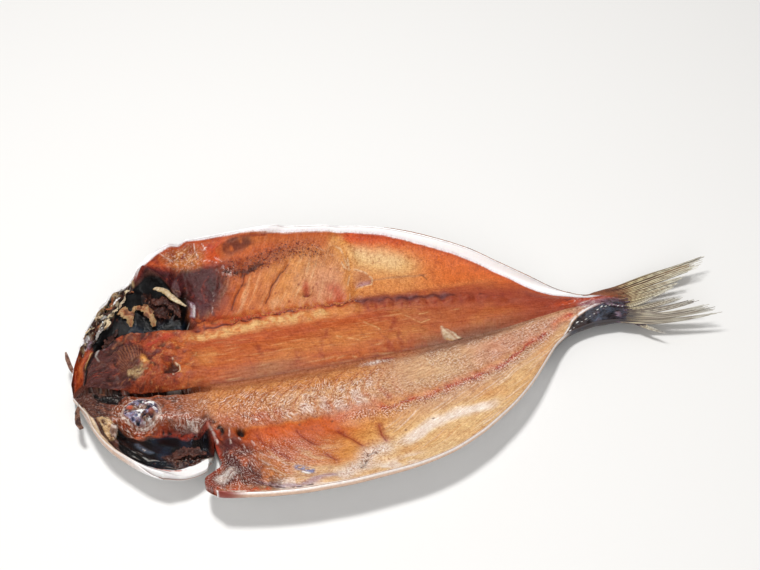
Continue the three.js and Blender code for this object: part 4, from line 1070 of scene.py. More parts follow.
def paint_near_head(s):
    """Brown cheek with the split eye, black glossy gill hollow, and a white rim."""
    x, y = s.x, s.y
    s.lay("umber", np.ones_like(x))
    cheek = smooth(-23, -21, y)
    s.lay("rust", 0.7 * cheek * smooth(8, 22, x + 2 * s.wobble_x))
    s.lay("tan", 0.75 * smooth(24, 38, x + 2 * s.wobble_x) * cheek)
    s.lay("umber", 0.6 * cheek * s.blots(0.0, 0.5, 4, 120) * smooth(40, 26, x))
    slant = x * 0.94 - y * 0.34
    beside = y * 0.94 + x * 0.34 + 0.8 * s.drift(5, 122)
    s.shaded_folds(cheek * smooth(3, 8, x) * mix(1, 0.3, smooth(28, 40, x)), 1.3, 121, "bark", "tan", 0.35,
             stretch=3.0,
             way=(slant, beside))
    s.glints(slant, beside, cheek * mix(0.15, 0.5, smooth(26, 40, x)))
    s.run(slant, beside, 0.7 * cheek)
    s.wet += 0.35
    groove = s.shape([(5, -3.0), (15.6, -3.6), (19, -6.6), (16, -9.6), (9, -8.4)], 1.0, 2.0, 2.4)
    s.calm(groove)
    s.lay("char", 0.95 * groove)
    s.shaded_folds(0.9 * groove, 1.6, 124, "char", "umber", 0.5, -20)
    s.shaded_folds(0.7 * groove, 0.9, 44, "char", "silver", 0.3, -10, 2.4)
    torn = s.shape([(15, -4.6), (20, -3.6), (21.6, -6), (18, -8)], 0.6, 1.4, 0.8)
    s.shaded_folds(torn, 0.9, 257, "bark", "silver", 0.5, -10)
    # Painted shade: the slit along the sunken welt is painted near-black.
    s.mark([(20, -3.8), (30, -5.6), (39, -7)], 1.5, "char", 0.95, -0.4, 0.6)
    s.mark([(22, -4.4), (30, -5.4), (37, -6.4)], 0.3, "silver", 0.7, 0.1, 0.8, broken=0.2, grain=0.9)
    s.mark([(39, -7), (46, -8.6)], 0.7, "umber", 0.8, -0.2, 0.8)
    paint_inner_eye(s)
    s.mark([(12, -19.6), (20, -22.2), (29, -22.4)], 1.5, "rust", 0.8, 0.3, 0.8, broken=0.8)
    s.mark([(19, -22.6), (28, -22.2)], 0.7, "amber", 0.7, 0.1, 0.9, broken=0.7)
    ledge = s.shape([(27.6, -18.6), (33, -18.2), (40, -20.4), (45, -24.4), (41, -24.6), (34, -22), (29, -21)],
                    0.6, 1.4, 1.0)
    s.calm(0.7 * ledge)
    s.lay("pink", 0.5 * ledge)
    s.lay("fat", 0.8 * ledge * s.blots(-0.4, 0.3, 3, 244))
    s.glints(x, y + 1.2 * s.drift(1.8, 258), ledge)
    paint_near_gill(s)
    paint_near_rim(s)


def paint_near_gill(s):
    """Smooth, wet, black hollow with a red-brown wall under the ledge and crumbs at its rear."""
    x, y = s.x, s.y
    black = s.shape([(11.6, -19), (15.4, -21.8), (20.9, -24.4), (27.6, -24.6), (30, -23.6), (37.4, -24),
                     (42, -25.6),
                     (45.6, -24), (47, -36), (43, -42), (37, -45), (30, -46.6), (24, -45), (18, -39.6),
                     (14, -31)], 0.5)
    folds = sum(welt(x, y, line, width, height) for line, width, height in HEAD_WELTS[4:6])
    s.lay("char", black)
    # Painted sheen: blue-black patches over the hollow.
    s.lay("ink", 0.8 * black * s.blots(-0.1, 0.5, 7, 125, 2))
    s.calm(black)
    s.wet += 0.7 * black
    s.rise = mix(s.rise, 0.3 * s.drift(7, 129) - 0.75 * folds, black)
    wall = s.shape([(27, -22), (33, -23), (41, -25), (46, -24), (46, -28), (40, -27.4), (34, -25.6),
                    (28, -24)], 1.0, 1.6, 1.2)
    s.lay("brick", 0.8 * wall)
    s.shaded_folds(wall, 1.6, 241, "char", "rust", 0.3, 60, 2.0)
    strand = bell(line_distance(x, y, [(13, -24), (17, -32), (23, -38.6), (31, -42)]), 0, 3.4)
    beside = line_distance(x, y, [(9, -22), (13.6, -33), (20, -41), (30, -45)])
    s.shaded_folds(0.9 * strand, 1.0, 128, "char", "umber", 0.4, stretch=6.0, way=(x - y, beside))
    s.lay("silver", 0.7 * strand * smooth(0.72, 0.84, streaks(x - y, beside, 9, 0.8, 240)))
    # Painted highlight: a blue-white streak on the wet hollow.
    s.mark([(19.4, -26.6), (21.4, -29), (23.4, -32.4)], 0.8, "slate", 0.8, 0.1, 0.95)
    s.mark([(20.6, -28), (22, -30.4)], 0.3, "glint", 0.8, 0.0, 0.9, broken=0.7)
    bits = s.shape([(27, -36), (33, -34), (40, -32.6), (44, -37.4), (38, -42.4), (31, -43)], 1.0, 1.6, 1.2)
    s.lay("umber", 0.9 * bits * s.blots(-0.4, 0.1, 2.6, 126, 2))
    s.shaded_folds(bits, 1.1, 127, "char", "grey_tan", 0.6, 20)
    s.shaded_folds(0.9 * bits, 0.7, 37, "char", "silver", 0.3, -30)
    s.shaded_folds(0.7 * s.shape([(36, -26), (47, -26), (47, -38), (40, -37)], 1.0, 1.4), 1.2, 259, "char", "slate",
             0.4, 70, 3.0)
    s.area([(40.4, -39), (44.4, -37.6), (43.6, -41), (41, -42.6)], "silver", 0.8, 0.4, 0.6, 0.6)
    lump = s.shape([(7.6, -18.6), (11.4, -17.8), (13.4, -20.6), (12.6, -24.6), (10.2, -25.4)], 0.5)
    s.lay("cream", 0.85 * lump)
    s.shaded_folds(lump, 0.9, 238, "umber", "fat", 0.3, 10)
    s.rise += 0.5 * lump


def paint_near_rim(s):
    """Smooth white inside of the gill cover's border, thin by the jaw and broad below."""
    x, y = s.x, s.y
    rim = s.shape(white_rim_inner + [(43, -60), (20, -60), (0, -40), (-4, -9)], 0.3, 0.25)
    s.calm(rim)
    s.colour += (tone("white") - s.colour) * rim[..., None]
    s.lay("cream", 0.75 * rim * smooth(20, 9, x))
    # Painted shade: faint lilac-grey blots on the white rim from x 24 back.
    s.lay("lilac", 0.2 * rim * smooth(24, 30, x) * s.blots(0.0, 0.7, 5, 130, 2))
    s.rise = mix(s.rise, 0.4, rim)
    s.mark([(24.4, -43.4), (29, -44.8), (34, -44.4)], 0.4, "orange_red", 0.8, 0.0, 0.9, 0.4, broken=0.7)
    s.mark([(8, -20), (12.6, -30.4), (17.4, -37.8), (22, -42.2)], 0.3, "bark", 0.9, -0.2, 0.6, 0.3)


def paint_inner_eye(s):
    """Split eye: frothy, broken pale rings round a wet, blotchy lining of white, grey and blue."""
    x, y = s.x, s.y
    to_eye = np.hypot((x - 22.6) / 6.2, (y + 15.4) / 5.1) + 0.09 * cloud(x, y, 4, 260, 3)
    turn = np.arctan2(y + 15.4, x - 22.6)
    ball = smooth(1.0, 0.9, to_eye)
    froth = smooth(1.7, 1.2, to_eye + 0.25 * np.cos(turn))
    s.fibre = s.fibre * (1 - froth)
    s.lay("tan", 0.5 * froth)
    s.glints(turn * 5, to_eye * 5 + 0.8 * s.drift(3, 261), 0.75 * froth)
    ring = bell(to_eye, 1.06, 0.07)
    s.lay("fat", 0.9 * ring * s.blots(-0.6, 0.0, 2.6, 262, 2))
    s.rise += 0.3 * ring
    s.lay("grey_tan", ball)
    s.calm(ball)
    s.lay("lilac", 0.8 * ball * s.blots(-0.1, 0.1, 4, 43))
    s.shaded_folds(ball, 1.7, 263, "ink", "silver", 0.5, 30, 1.3)
    s.lay("blue_glint", 0.55 * ball * s.blots(0.1, 0.3, 2.4, 133, 2))
    s.lay("umber", 0.7 * ball * s.blots(0.15, 0.25, 2.2, 42, 2))
    s.shaded_folds(0.95 * ball, 1.0, 264, "ink", "white", 0.3, -40, 1.4)
    s.lay("white", 0.9 * ball * s.blots(0.3, 0.4, 1.8, 237, 2))
    s.patch(19.2, -14.0, 1.1, 0.8, "orange_red", 0.7, 0.0, 0.7, 20, 1.5)
    s.patch(26.4, -16.6, 0.8, 1.3, "rust", 0.6, 0.0, 0.7)
    s.wet += 0.6 * ball


def neck_share(s):
    """0 on the head and 1 on the body: a slow change over the back, a quick one outside it."""
    slow = smooth(36, 50, s.x + 1.6 * s.wobble_x)
    quick = smooth(43, 48, s.x + 1.4 * s.wobble_x)
    return mix(quick, slow, smooth(19.5, 17.5, s.y) * smooth(-22, -18, s.y))


def paint_near_side(s):
    paint_near_head(s)
    head = s.layer()
    s.start_layer("tan")
    paint_near_half(s)
    outside = smooth(0.5, 0.58, s.a) * smooth(34, 36, s.x)
    apart = np.where(s.x > shoulder_start(s.a) - 0.6, 1.0, 0.0)
    s.blend_layers(head, s.layer(), mix(neck_share(s), apart, outside))
    paint_stem_skin(s)


def paint_far_side(s):
    paint_far_head(s)
    head = s.layer()
    s.start_layer("amber")
    paint_far_half(s)
    s.blend_layers(head, s.layer(), neck_share(s))
    paint_stem_skin(s)
    paint_belly_rim(s)


# Meshes
def in_frame(points):
    """Plan points in mm as metres in the frame."""
    return (np.asarray(points, float) - [MIDDLE_X, MIDDLE_Y, 0.0]) * MM


def link_object(name, data):
    """New object in the scene for a mesh, a light or a camera."""
    made = bpy.data.objects.new(name, data)
    bpy.context.collection.objects.link(made)
    return made


def smooth_mesh(name, points, faces):
    mesh = bpy.data.meshes.new(name)
    mesh.from_pydata(points.tolist(), [], faces)
    mesh.polygons.foreach_set("use_smooth", [True] * len(mesh.polygons))
    return mesh


def new_piece(name, points, faces):
    """Mesh object from plan points in mm, placed in metres in the frame."""
    return link_object(name, smooth_mesh(name, in_frame(points), [list(map(int, f)) for f in faces]))


def grid_of(shape):
    """Numbers of the points of a grid, in order."""
    return np.arange(np.prod(shape)).reshape(shape)


def grid_border(index):
    """Numbers of the points round a grid, in order."""
    return np.concatenate([index[:-1, 0], index[-1, :-1], index[:0:-1, -1], index[0, :0:-1]])


def grid_quads(index):
    corners = (index[:-1, :-1], index[1:, :-1], index[1:, 1:], index[:-1, 1:])
    return np.stack([c.ravel() for c in corners], 1)


def grid_walls(index):
    """Faces between the border of a grid and that of an equal grid numbered after it."""
    ids = grid_border(index)
    nxt = np.roll(ids, -1)
    return np.stack([ids + index.size, nxt + index.size, nxt, ids], 1)


def slab_faces(index):
    """All faces of a closed slab between two equal grids."""
    quads = grid_quads(index)
    return np.concatenate([quads, grid_walls(index), quads[:, ::-1] + index.size])


def coarse_underside(index, block):
    """Big faces over a grid that still use every point on its border."""
    columns, rows = index.shape[0] - 1, index.shape[1] - 1
    faces = []
    for i in range(0, columns, block):
        for j in range(0, rows, block):
            i2 = min(i + block, columns)
            j2 = min(j + block, rows)
            ring = [(i, j)]
            ring += [(k, j) for k in range(i + 1, i2)] if j == 0 else []
            ring += [(i2, j)]
            ring += [(i2, k) for k in range(j + 1, j2)] if i2 == columns else []
            ring += [(i2, j2)]
            ring += [(k, j2) for k in range(i2 - 1, i, -1)] if j2 == rows else []
            ring += [(i, j2)]
            ring += [(i, k) for k in range(j2 - 1, j, -1)] if i == 0 else []
            start = ring.index((i2 if i == 0 else i, j2 if j == 0 else j))
            ids = [index[p] for p in ring[start:] + ring[:start]]
            faces += [(ids[0], ids[k + 1], ids[k]) for k in range(1, len(ids) - 1)]
    return faces


def flesh_piece(name, xs_of, vs, columns, paint):
    """Closed slab of flesh: a finely carved and painted top over a plain hidden underside."""
    start, end = xs_of(np.abs(vs))
    x = start[None, :] + (end - start)[None, :] * np.linspace(0, 1, columns + 1)[:, None]
    v = np.broadcast_to(vs[None, :], x.shape).copy()
    s = Surface(x, v)
    paint(s)
    half = np.maximum(np.where(v < 0, hinge(x) - near_edge(x), far_edge(x) - hinge(x)), 3.0)
    y = across(x, v * (1 - np.minimum(EDGE_TUCK / half, 0.3) * s.a**6))
    calm = 1 - smooth(0.985, 1.0, s.a) * 0.7
    top = np.stack([x, y, s.high + s.rise * calm], -1)
    low = np.stack([x, y, np.minimum(s.low + 0.25, s.high - 0.5)], -1)
    index = grid_of(x.shape)
    under = coarse_underside(index + x.size, UNDERSIDE_BLOCK)
    points = np.concatenate([top.reshape(-1, 3), low.reshape(-1, 3)])
    piece = new_piece(name, points, [*grid_quads(index), *grid_walls(index), *under])
    used = drop_loose(piece)
    finish = np.stack([s.wet, s.glint_share, s.fibre, s.speck], -1).reshape(-1, 4)
    way = np.stack([s.along * MM, s.over * MM, 0 * s.x], -1).reshape(-1, 3)
    layers = (s.colour.reshape(-1, 3), np.clip(finish, 0, 1), way)
    colour_points(piece, *(np.concatenate([layer, layer])[used] for layer in layers))
    mark_sharp_border(piece, set(grid_border(index).tolist()))
    return piece


def drop_loose(piece):
    """The hidden underside leaves unused points; they go, so that the piece is clean."""
    mesh = piece.data
    used = np.zeros(len(mesh.vertices), bool)
    corner = np.empty(len(mesh.loops), np.int32)
    mesh.loops.foreach_get("vertex_index", corner)
    used[corner] = True
    renumber = np.cumsum(used) - 1
    points = np.empty(len(mesh.vertices) * 3)
    mesh.vertices.foreach_get("co", points)
    faces = [[int(renumber[k]) for k in p.vertices] for p in mesh.polygons]
    piece.data = smooth_mesh(mesh.name + "_clean", points.reshape(-1, 3)[used], faces)
    return used


def colour_points(piece, colour, finish, way):
    """Paint, finish and fibre direction of every point, kept on the mesh."""
    mesh = piece.data
    paint = np.concatenate([np.clip(colour, 0.001, 1), np.ones((len(mesh.vertices), 1))], 1)
    for name, values in (("paint", paint), ("finish", finish)):
        layer = mesh.color_attributes.new(name, "FLOAT_COLOR", "POINT")
        layer.data.foreach_set("color", values.ravel())
    layer = mesh.attributes.new("fibre_way", "FLOAT_VECTOR", "POINT")
    layer.data.foreach_set("vector", np.asarray(way, float).ravel())


def mark_sharp_border(piece, border):
    mesh = piece.data
    sharp = [e.vertices[0] in border and e.vertices[1] in border for e in mesh.edges]
    layer = mesh.attributes.new("sharp_edge", "BOOLEAN", "EDGE")
    layer.data.foreach_set("value", sharp)


def turn_outward(piece):
    mesh = bmesh.new()
    mesh.from_mesh(piece.data)
    bmesh.ops.recalc_face_normals(mesh, faces=mesh.faces)
    mesh.to_mesh(piece.data)
    mesh.free()


# Materials and node trees
def fill(tree, node, inputs):
    """Give each input its value, or link it to the socket that is given for it."""
    for key, value in inputs.items():
        if isinstance(value, bpy.types.NodeSocket):
            tree.links.new(value, node.inputs[key])
        else:
            node.inputs[key].default_value = value


def add(tree, kind, inputs, **settings):
    """New node with its settings and inputs."""
    node = tree.nodes.new(kind)
    for key, value in settings.items():
        setattr(node, key, value)
    fill(tree, node, inputs)
    return node


def start_material(name):
    material = bpy.data.materials.new(name)
    material.use_nodes = True
    tree = material.node_tree
    return material, tree, tree.nodes["Principled BSDF"]


def attribute(tree, name):
    return add(tree, "ShaderNodeAttribute", {}, attribute_name=name).outputs


def object_place(tree):
    return add(tree, "ShaderNodeTexCoord", {}).outputs["Object"]


def noise_at(tree, place, scale, detail, roughness):
    sockets = {"Vector": place, "Scale": scale, "Detail": detail, "Roughness": roughness}
    return add(tree, "ShaderNodeTexNoise", sockets).outputs["Fac"]


def grain_noise(tree, scale, detail, roughness):
    """Noise that is fixed to the piece."""
    return noise_at(tree, object_place(tree), scale, detail, roughness)


def fibre_noise(tree, stretch):
    """Noise drawn out along the fibres, from the direction kept on the mesh."""
    way = attribute(tree, "fibre_way")["Vector"]
    spread = add(tree, "ShaderNodeMapping", {"Vector": way, "Scale": stretch})
    return noise_at(tree, spread.outputs["Vector"], 1.0, 4.0, 0.65)


def ramp(tree, source, low, high, to_low=0.0, to_high=1.0):
    sockets = {"Value": source, "From Min": low, "From Max": high, "To Min": to_low, "To Max": to_high}
    return add(tree, "ShaderNodeMapRange", sockets).outputs["Result"]


def tint(tree, colour, factor, other, blend="MULTIPLY"):
    sockets = {"Factor": factor, "A": colour, "B": (*other, 1.0)}
    return add(tree, "ShaderNodeMix", sockets, data_type="RGBA", blend_type=blend).outputs["Result"]


def cover_with(tree, colour, factor, other):
    return tint(tree, colour, factor, other, "MIX")


def calc(tree, operation, *values):
    return add(tree, "ShaderNodeMath", dict(enumerate(values)), operation=operation).outputs["Value"]


def times(tree, first, second):
    return calc(tree, "MULTIPLY", first, second)


def tone_ramp(tree, factor, stops):
    """Colour that runs through named tones at given places."""
    node = add(tree, "ShaderNodeValToRGB", {"Fac": factor})
    elements = node.color_ramp.elements
    for element, (spot, name) in zip(elements, (stops[0], stops[-1])):
        element.position = spot
        element.color = (*tone(name), 1)
    for spot, name in stops[1:-1]:
        elements.new(spot).color = (*tone(name), 1)
    return node.outputs["Color"]


def finish_shader(tree, shader, inputs, relief, strength, distance):
    """Set or link the inputs of the shader, and let the light see the relief."""
    fill(tree, shader, inputs)
    sockets = {"Height": relief, "Strength": strength, "Distance": distance}
    fill(tree, shader, {"Normal": add(tree, "ShaderNodeBump", sockets).outputs["Normal"]})


def painted_flesh(name):
    """Half-dried, oily flesh: paint with mottling, fibres, broken painted glints with painted shade at their
    rims, specks and an uneven gloss.
    """
    material, tree, shader = start_material(name)
    colour = attribute(tree, "paint")["Color"]
    finish = attribute(tree, "finish")
    parts = add(tree, "ShaderNodeSeparateColor", {"Color": finish["Color"]}).outputs
    wet, glint_share, fibre, specks = parts["Red"], parts["Green"], parts["Blue"], finish["Alpha"]
    grey = add(tree, "ShaderNodeRGBToBW", {"Color": colour}).outputs["Val"]
    soiled = ramp(tree, grey, 0.55, 0.85, 1.0, 0.06)
    grainy = times(tree, soiled, ramp(tree, fibre, 0.1, 0.5, 1.0, 0.45))
    mottle = grain_noise(tree, 430.0, 6.0, 0.72)
    grain = grain_noise(tree, 1400.0, 3.0, 0.7)
    strand = fibre_noise(tree, (220.0, 1700.0, 1.0))
    flake = fibre_noise(tree, (1150.0, 1950.0, 1.0))
    veils = [
        (mottle, 0.5, 0.64, (0.7, 0.56, 0.48), grainy), (mottle, 0.48, 0.36, (1.12, 1.16, 1.18), grainy),
        (grain, 0.53, 0.64, (0.66, 0.47, 0.39), grainy), (grain, 0.46, 0.36, (1.22, 1.38, 1.48), grainy),
        (strand, 0.5, 0.62, (0.62, 0.46, 0.38), fibre), (strand, 0.47, 0.36, (1.25, 1.45, 1.6), fibre),
        # painted shade: dark rims beside the painted glints
        (flake, 0.5, 0.41, (0.5, 0.3, 0.24), glint_share),
    ]
    for source, low, high, other, zone in veils:
        colour = tint(tree, colour, times(tree, ramp(tree, source, low, high), zone), other)
    patchy = times(tree, glint_share, ramp(tree, grain_noise(tree, 190.0, 2.0, 0.5), 0.36, 0.56, 0.45, 1.0))
    # painted highlight: pale glints where the flake noise is high
    glint = times(tree, ramp(tree, flake, 0.52, 0.6), patchy)
    colour = cover_with(tree, colour, times(tree, glint, 0.85), (0.93, 0.84, 0.79))
    crumbs = times(tree, ramp(tree, grain_noise(tree, 2900.0, 1.0, 0.5), 0.5, 0.57), specks)
    colour = cover_with(tree, colour, times(tree, crumbs, 0.8), (0.09, 0.03, 0.024))
    gloss = times(tree, wet, ramp(tree, mottle, 0.3, 0.7, 1.2, 0.7))
    relief = calc(tree, "ADD", times(tree, grain, 0.35), mottle)
    relief = calc(tree, "ADD", relief, times(tree, times(tree, flake, glint_share), 1.2))
    relief = calc(tree, "SUBTRACT", relief, times(tree, times(tree, strand, fibre), 0.5))
    finish_shader(tree, shader, {
        "Base Color": colour, "Roughness": ramp(tree, gloss, 0.1, 1.1, 0.3, 0.12), "Specular IOR Level": 0.2,
        "Subsurface Weight": 0.04, "Subsurface Radius": (1.0, 0.35, 0.15), "Subsurface Scale": 0.001,
    }, times(tree, relief, soiled), 0.7, 0.0006)
    return material


def fish_skin(name):
    """Silver skin with a fine net of scale pockets and a soft metal sheen."""
    material, tree, shader = start_material(name)
    paint = attribute(tree, "paint")["Color"]
    mottle = grain_noise(tree, 900.0, 4.0, 0.65)
    pockets = add(tree, "ShaderNodeTexVoronoi", {"Vector": object_place(tree), "Scale": 620.0})
    finish_shader(tree, shader, {
        "Base Color": tint(tree, paint, ramp(tree, mottle, 0.35, 0.7), (0.8, 0.79, 0.8)),
        "Roughness": ramp(tree, mottle, 0.3, 0.7, 0.28, 0.5),
        "Metallic": 0.15, "Coat Weight": 0.2, "Coat Roughness": 0.2,
    }, pockets.outputs["Distance"], 0.3, 0.0003)
    return material


def fin_material(name, root, mid, tip, line, root_end):
    """Dried fin: brown at the root, khaki and then pale outwards, with fine dark lines and joints."""
    material, tree, shader = start_material(name)
    reach, shade, joint = (attribute(tree, key)["Fac"] for key in ("ray_reach", "ray_shade", "ray_joint"))
    blotch = grain_noise(tree, 400.0, 4.0, 0.7)
    place_at = calc(tree, "ADD", reach, times(tree, calc(tree, "SUBTRACT", blotch, 0.5), 0.5))
    colour = tone_ramp(tree, place_at, [(root_end * 0.4, root), (root_end, mid), (0.95, tip)])
    side = add(tree, "ShaderNodeSeparateXYZ", {"Vector": object_place(tree)}).outputs["Y"]
    cool = times(tree, ramp(tree, side, 0.006, 0.0, 0.0, 0.55), ramp(tree, reach, 0.1, 0.4))
    warm = times(tree, ramp(tree, side, 0.005, 0.0095), ramp(tree, reach, 0.4, 0.1, 0.0, 0.85))
    lined = ramp(tree, shade, 0.35, 0.0, 0.0, 0.75)
    for factor, other in ((cool, "silver"), (warm, "tan"), (lined, line)):
        colour = cover_with(tree, colour, factor, tone(other))
    colour = tint(tree, colour, ramp(tree, joint, 0.2, -0.6, 0.0, 0.55), (0.5, 0.44, 0.42))
    colour = tint(tree, colour, ramp(tree, blotch, 0.5, 0.7, 0.0, 0.5), (0.72, 0.68, 0.62))
    rough = ramp(tree, blotch, 0.3, 0.7, 0.5, 0.32)
    finish_shader(tree, shader, {"Base Color": colour, "Roughness": rough, "Specular IOR Level": 0.3},
                  grain_noise(tree, 3000.0, 2.0, 0.5), 0.3, 0.0002)
    return material


def crumb_material(name, dark, pale):
    """Small dry bits, each in its own shade of two colours."""
    material, tree, shader = start_material(name)
    patch = grain_noise(tree, 700.0, 3.0, 0.6)
    colour = tone_ramp(tree, patch, [(0.38, dark), (0.62, pale)])
    rough = ramp(tree, patch, 0.3, 0.7, 0.4, 0.2)
    finish_shader(tree, shader, {"Base Color": colour, "Roughness": rough, "Specular IOR Level": 0.25},
                  grain_noise(tree, 3500.0, 2.0, 0.5), 0.4, 0.0002)
    return material


# Flesh pieces
def near_shares(count):
    return -np.linspace(1, 0, count + 1)


def far_shares(count):
    return np.linspace(0, 1, count + 1)


def head_span(a):
    return np.zeros_like(a), cover_end(a)


def far_head_span(a):
    return np.zeros_like(a), np.full_like(a, NECK)


def sleeve_end(a):
    """The flesh runs out in fingers between the fin rays."""
    return SLEEVE_END - 1.6 - 1.6 * np.sin(a * 34) - 1.4 * a


def near_body_span(a):
    return shoulder_start(a), sleeve_end(a)


def far_body_span(a):
    return np.full_like(a, NECK), sleeve_end(a)


def place(piece, material, finish):
    """Give a piece its material and say which body it rides on; the finish that names what it stands for is
    not used.
    """
    if not len(piece.data.materials):
        piece.data.materials.append(material)
    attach(piece, "root")
    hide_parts("butterflied_horse_mackerel")


flesh = painted_flesh("half_dried_flesh")
FLESH_PIECES = [
    ("near_half_flesh", near_body_span, near_shares(170), 400, paint_near_side),
    ("far_half_flesh", far_body_span, far_shares(180), 420, paint_far_side),
    ("near_head", head_span, near_shares(190), 190, paint_near_side),
    ("far_head", far_head_span, far_shares(200), 190, paint_far_side),
]
for name, span, shares, columns, paint in FLESH_PIECES:
    place(flesh_piece(name, span, shares, columns, paint), flesh, "flesh")


# Skin: a thin shell under the flesh that turns up along the outline
def skin_rows(count):
    """Rows across the shell: share of the half, and how far up the rim the row has climbed."""
    climb = np.linspace(1, 0.12, RIM_ROWS)
    flat = np.sin(np.linspace(-1, 1, count) * np.pi / 2)
    shares = np.concatenate([np.full(RIM_ROWS, -1.0), flat, np.full(RIM_ROWS, 1.0)])
    return shares, np.concatenate([climb, np.zeros(count), climb[::-1]])


def rim_reach(x, v):
    """How far up the rim the skin climbs: it sinks away at the corner of the near gill cover."""
    return 1 - 0.94 * (v < 0) * smooth(17, 26, x) * (x < 27)


def skin_shell(name, span_near, span_far, columns, rows_across):
    shares, climb = skin_rows(rows_across)
    a = np.abs(shares)
    near = shares < 0
    start = np.where(near, span_near(a)[0], span_far(a)[0])
    end = np.where(near, span_near(a)[1], span_far(a)[1])
    x = start[None, :] + (end - start)[None, :] * np.linspace(0, 1, columns + 1)[:, None]
    v = np.broadcast_to(shares[None, :], x.shape)
    up = climb[None, :] * rim_reach(x, v)
    side = np.where(a == 1, np.sign(shares), 0.0)[None, :]
    low, high = heights(x, v)
    wall = RIM_OUT + SKIN_BULGE * np.sin(np.pi * up)
    y_out = across(x, v) + side * wall
    z_out = mix(low, high + 0.05, up)
    y_in = y_out - side * RIM_WALL
    z_in = np.where(up > 0, z_out, z_out + SKIN_THICK)
    outer = np.stack([x, y_out, z_out], -1)
    inner = np.stack([x, y_in, z_in], -1)
    crest = np.stack([x, (y_out + y_in) / 2, z_out + RIM_CREST], -1)
    loop = np.concatenate([crest[:, :1], outer, crest[:, -1:], inner[:, ::-1]], 1)
    tones = paint_skin(x, v, up)
    inside = np.where(near[None, :, None], tone("tan"), tone("white")) + 0 * tones
    tones = np.concatenate([tones[:, :1], tones, tones[:, -1:], inside[:, ::-1]], 1)
    index = grid_of(loop.shape[:2])
    faces = grid_quads(np.concatenate([index, index[:, :1]], 1)).tolist()
    rows = len(shares)
    for i in (0, columns):
        back = index[i, rows + 2:][::-1]
        front = index[i, 1:rows + 1]
        strip = np.stack([front[:-1], front[1:], back[1:], back[:-1]], 1)
        ends = [[index[i, 0], front[0], back[0]], [index[i, rows + 1], back[-1], front[-1]]]
        faces += strip.tolist() + ends
    piece = new_piece(name, loop.reshape(-1, 3), faces)
    turn_outward(piece)
    plain = np.zeros((len(piece.data.vertices), 4))
    colour_points(piece, tones.reshape(-1, 3), plain, plain[:, :3])
    mark_sharp_border(piece, set(index[[0, -1]].ravel().tolist()))
    return piece


def paint_skin(x, v, up):
    """Dark blue back along the middle, silver flanks, white belly along both outer edges."""
    a = np.abs(v)
    near = v < 0
    y = across(x, v) + 2.5
    flank = np.where(near, -1.0, 1.0)
    body = smooth(43.2, 43.6, x)
    rim = (up > 0) * near
    wall = rim * mix(smooth(22, 12, x), 1.0, body)
    dark = smooth(162, 174, x) * near * (1 - smooth(0.6, 0.9, up) * smooth(180, 174, x))
    eye = np.hypot(x - 19, y - 15 * flank)
    cover = np.hypot((x - 17) / 1.15, y - 17 * flank)
    jaw = (a > 0.1) * bell(y - (6 + 0.1 * x) * flank, 0, 0.4) * smooth(9, 7, x)
    coats = [
        ("gold", 0.25 * bell(a, 0.42, 0.12)),
        ("back_blue", smooth(0.44, 0.16, a + 0.05 * cloud(x, v * 40, 7, 140, 2))),
        ("white", smooth(0.6, 0.85, a)),
        ("fat", 0.7 * wall),
        ("ochre", 0.55 * wall * smooth(1.0, 0.8, up)),
        # Painted shade: the lower part of the near rim wall is darker.
        ("umber", 0.4 * wall * smooth(0.6, 0.2, up)),
        ("brick", rim * body * smooth(55, 46, x)),
        ("fin_dark", 0.95 * dark),
        ("slate", 0.5 * dark * smooth(0.0, 0.5, cloud(x, v * 9 + up * 4, 3, 141, 2))),
        ("slate", 0.6 * bell(cover, 19, 0.5) * smooth(20, 26, x)),
        ("char", 0.8 * jaw),
        ("gold", 0.6 * smooth(5.0, 4.4, eye)),
        ("silver", 0.6 * smooth(4.2, 3.6, eye)),
        ("char", smooth(2.7, 2.2, eye)),
    ]
    colour = np.broadcast_to(tone("flank"), x.shape + (3,))
    for name, share in coats:
        colour = colour + (tone(name) - colour) * np.clip(share, 0, 1)[..., None]
    return colour


skin = fish_skin("silver_skin")
place(skin_shell("body_skin", near_body_span, far_body_span, 200, 81), skin, "skin")
place(skin_shell("head_skin", head_span, far_head_span, 110, 181), skin, "skin")


# Thin bones and torn tissue that stand clear of the hollows
def path_curves(path):
    """One smooth curve for each coordinate of a path, over 0 to 1."""
    return [through(list(zip(np.linspace(0, 1, len(path)), values))) for values in zip(*path)]


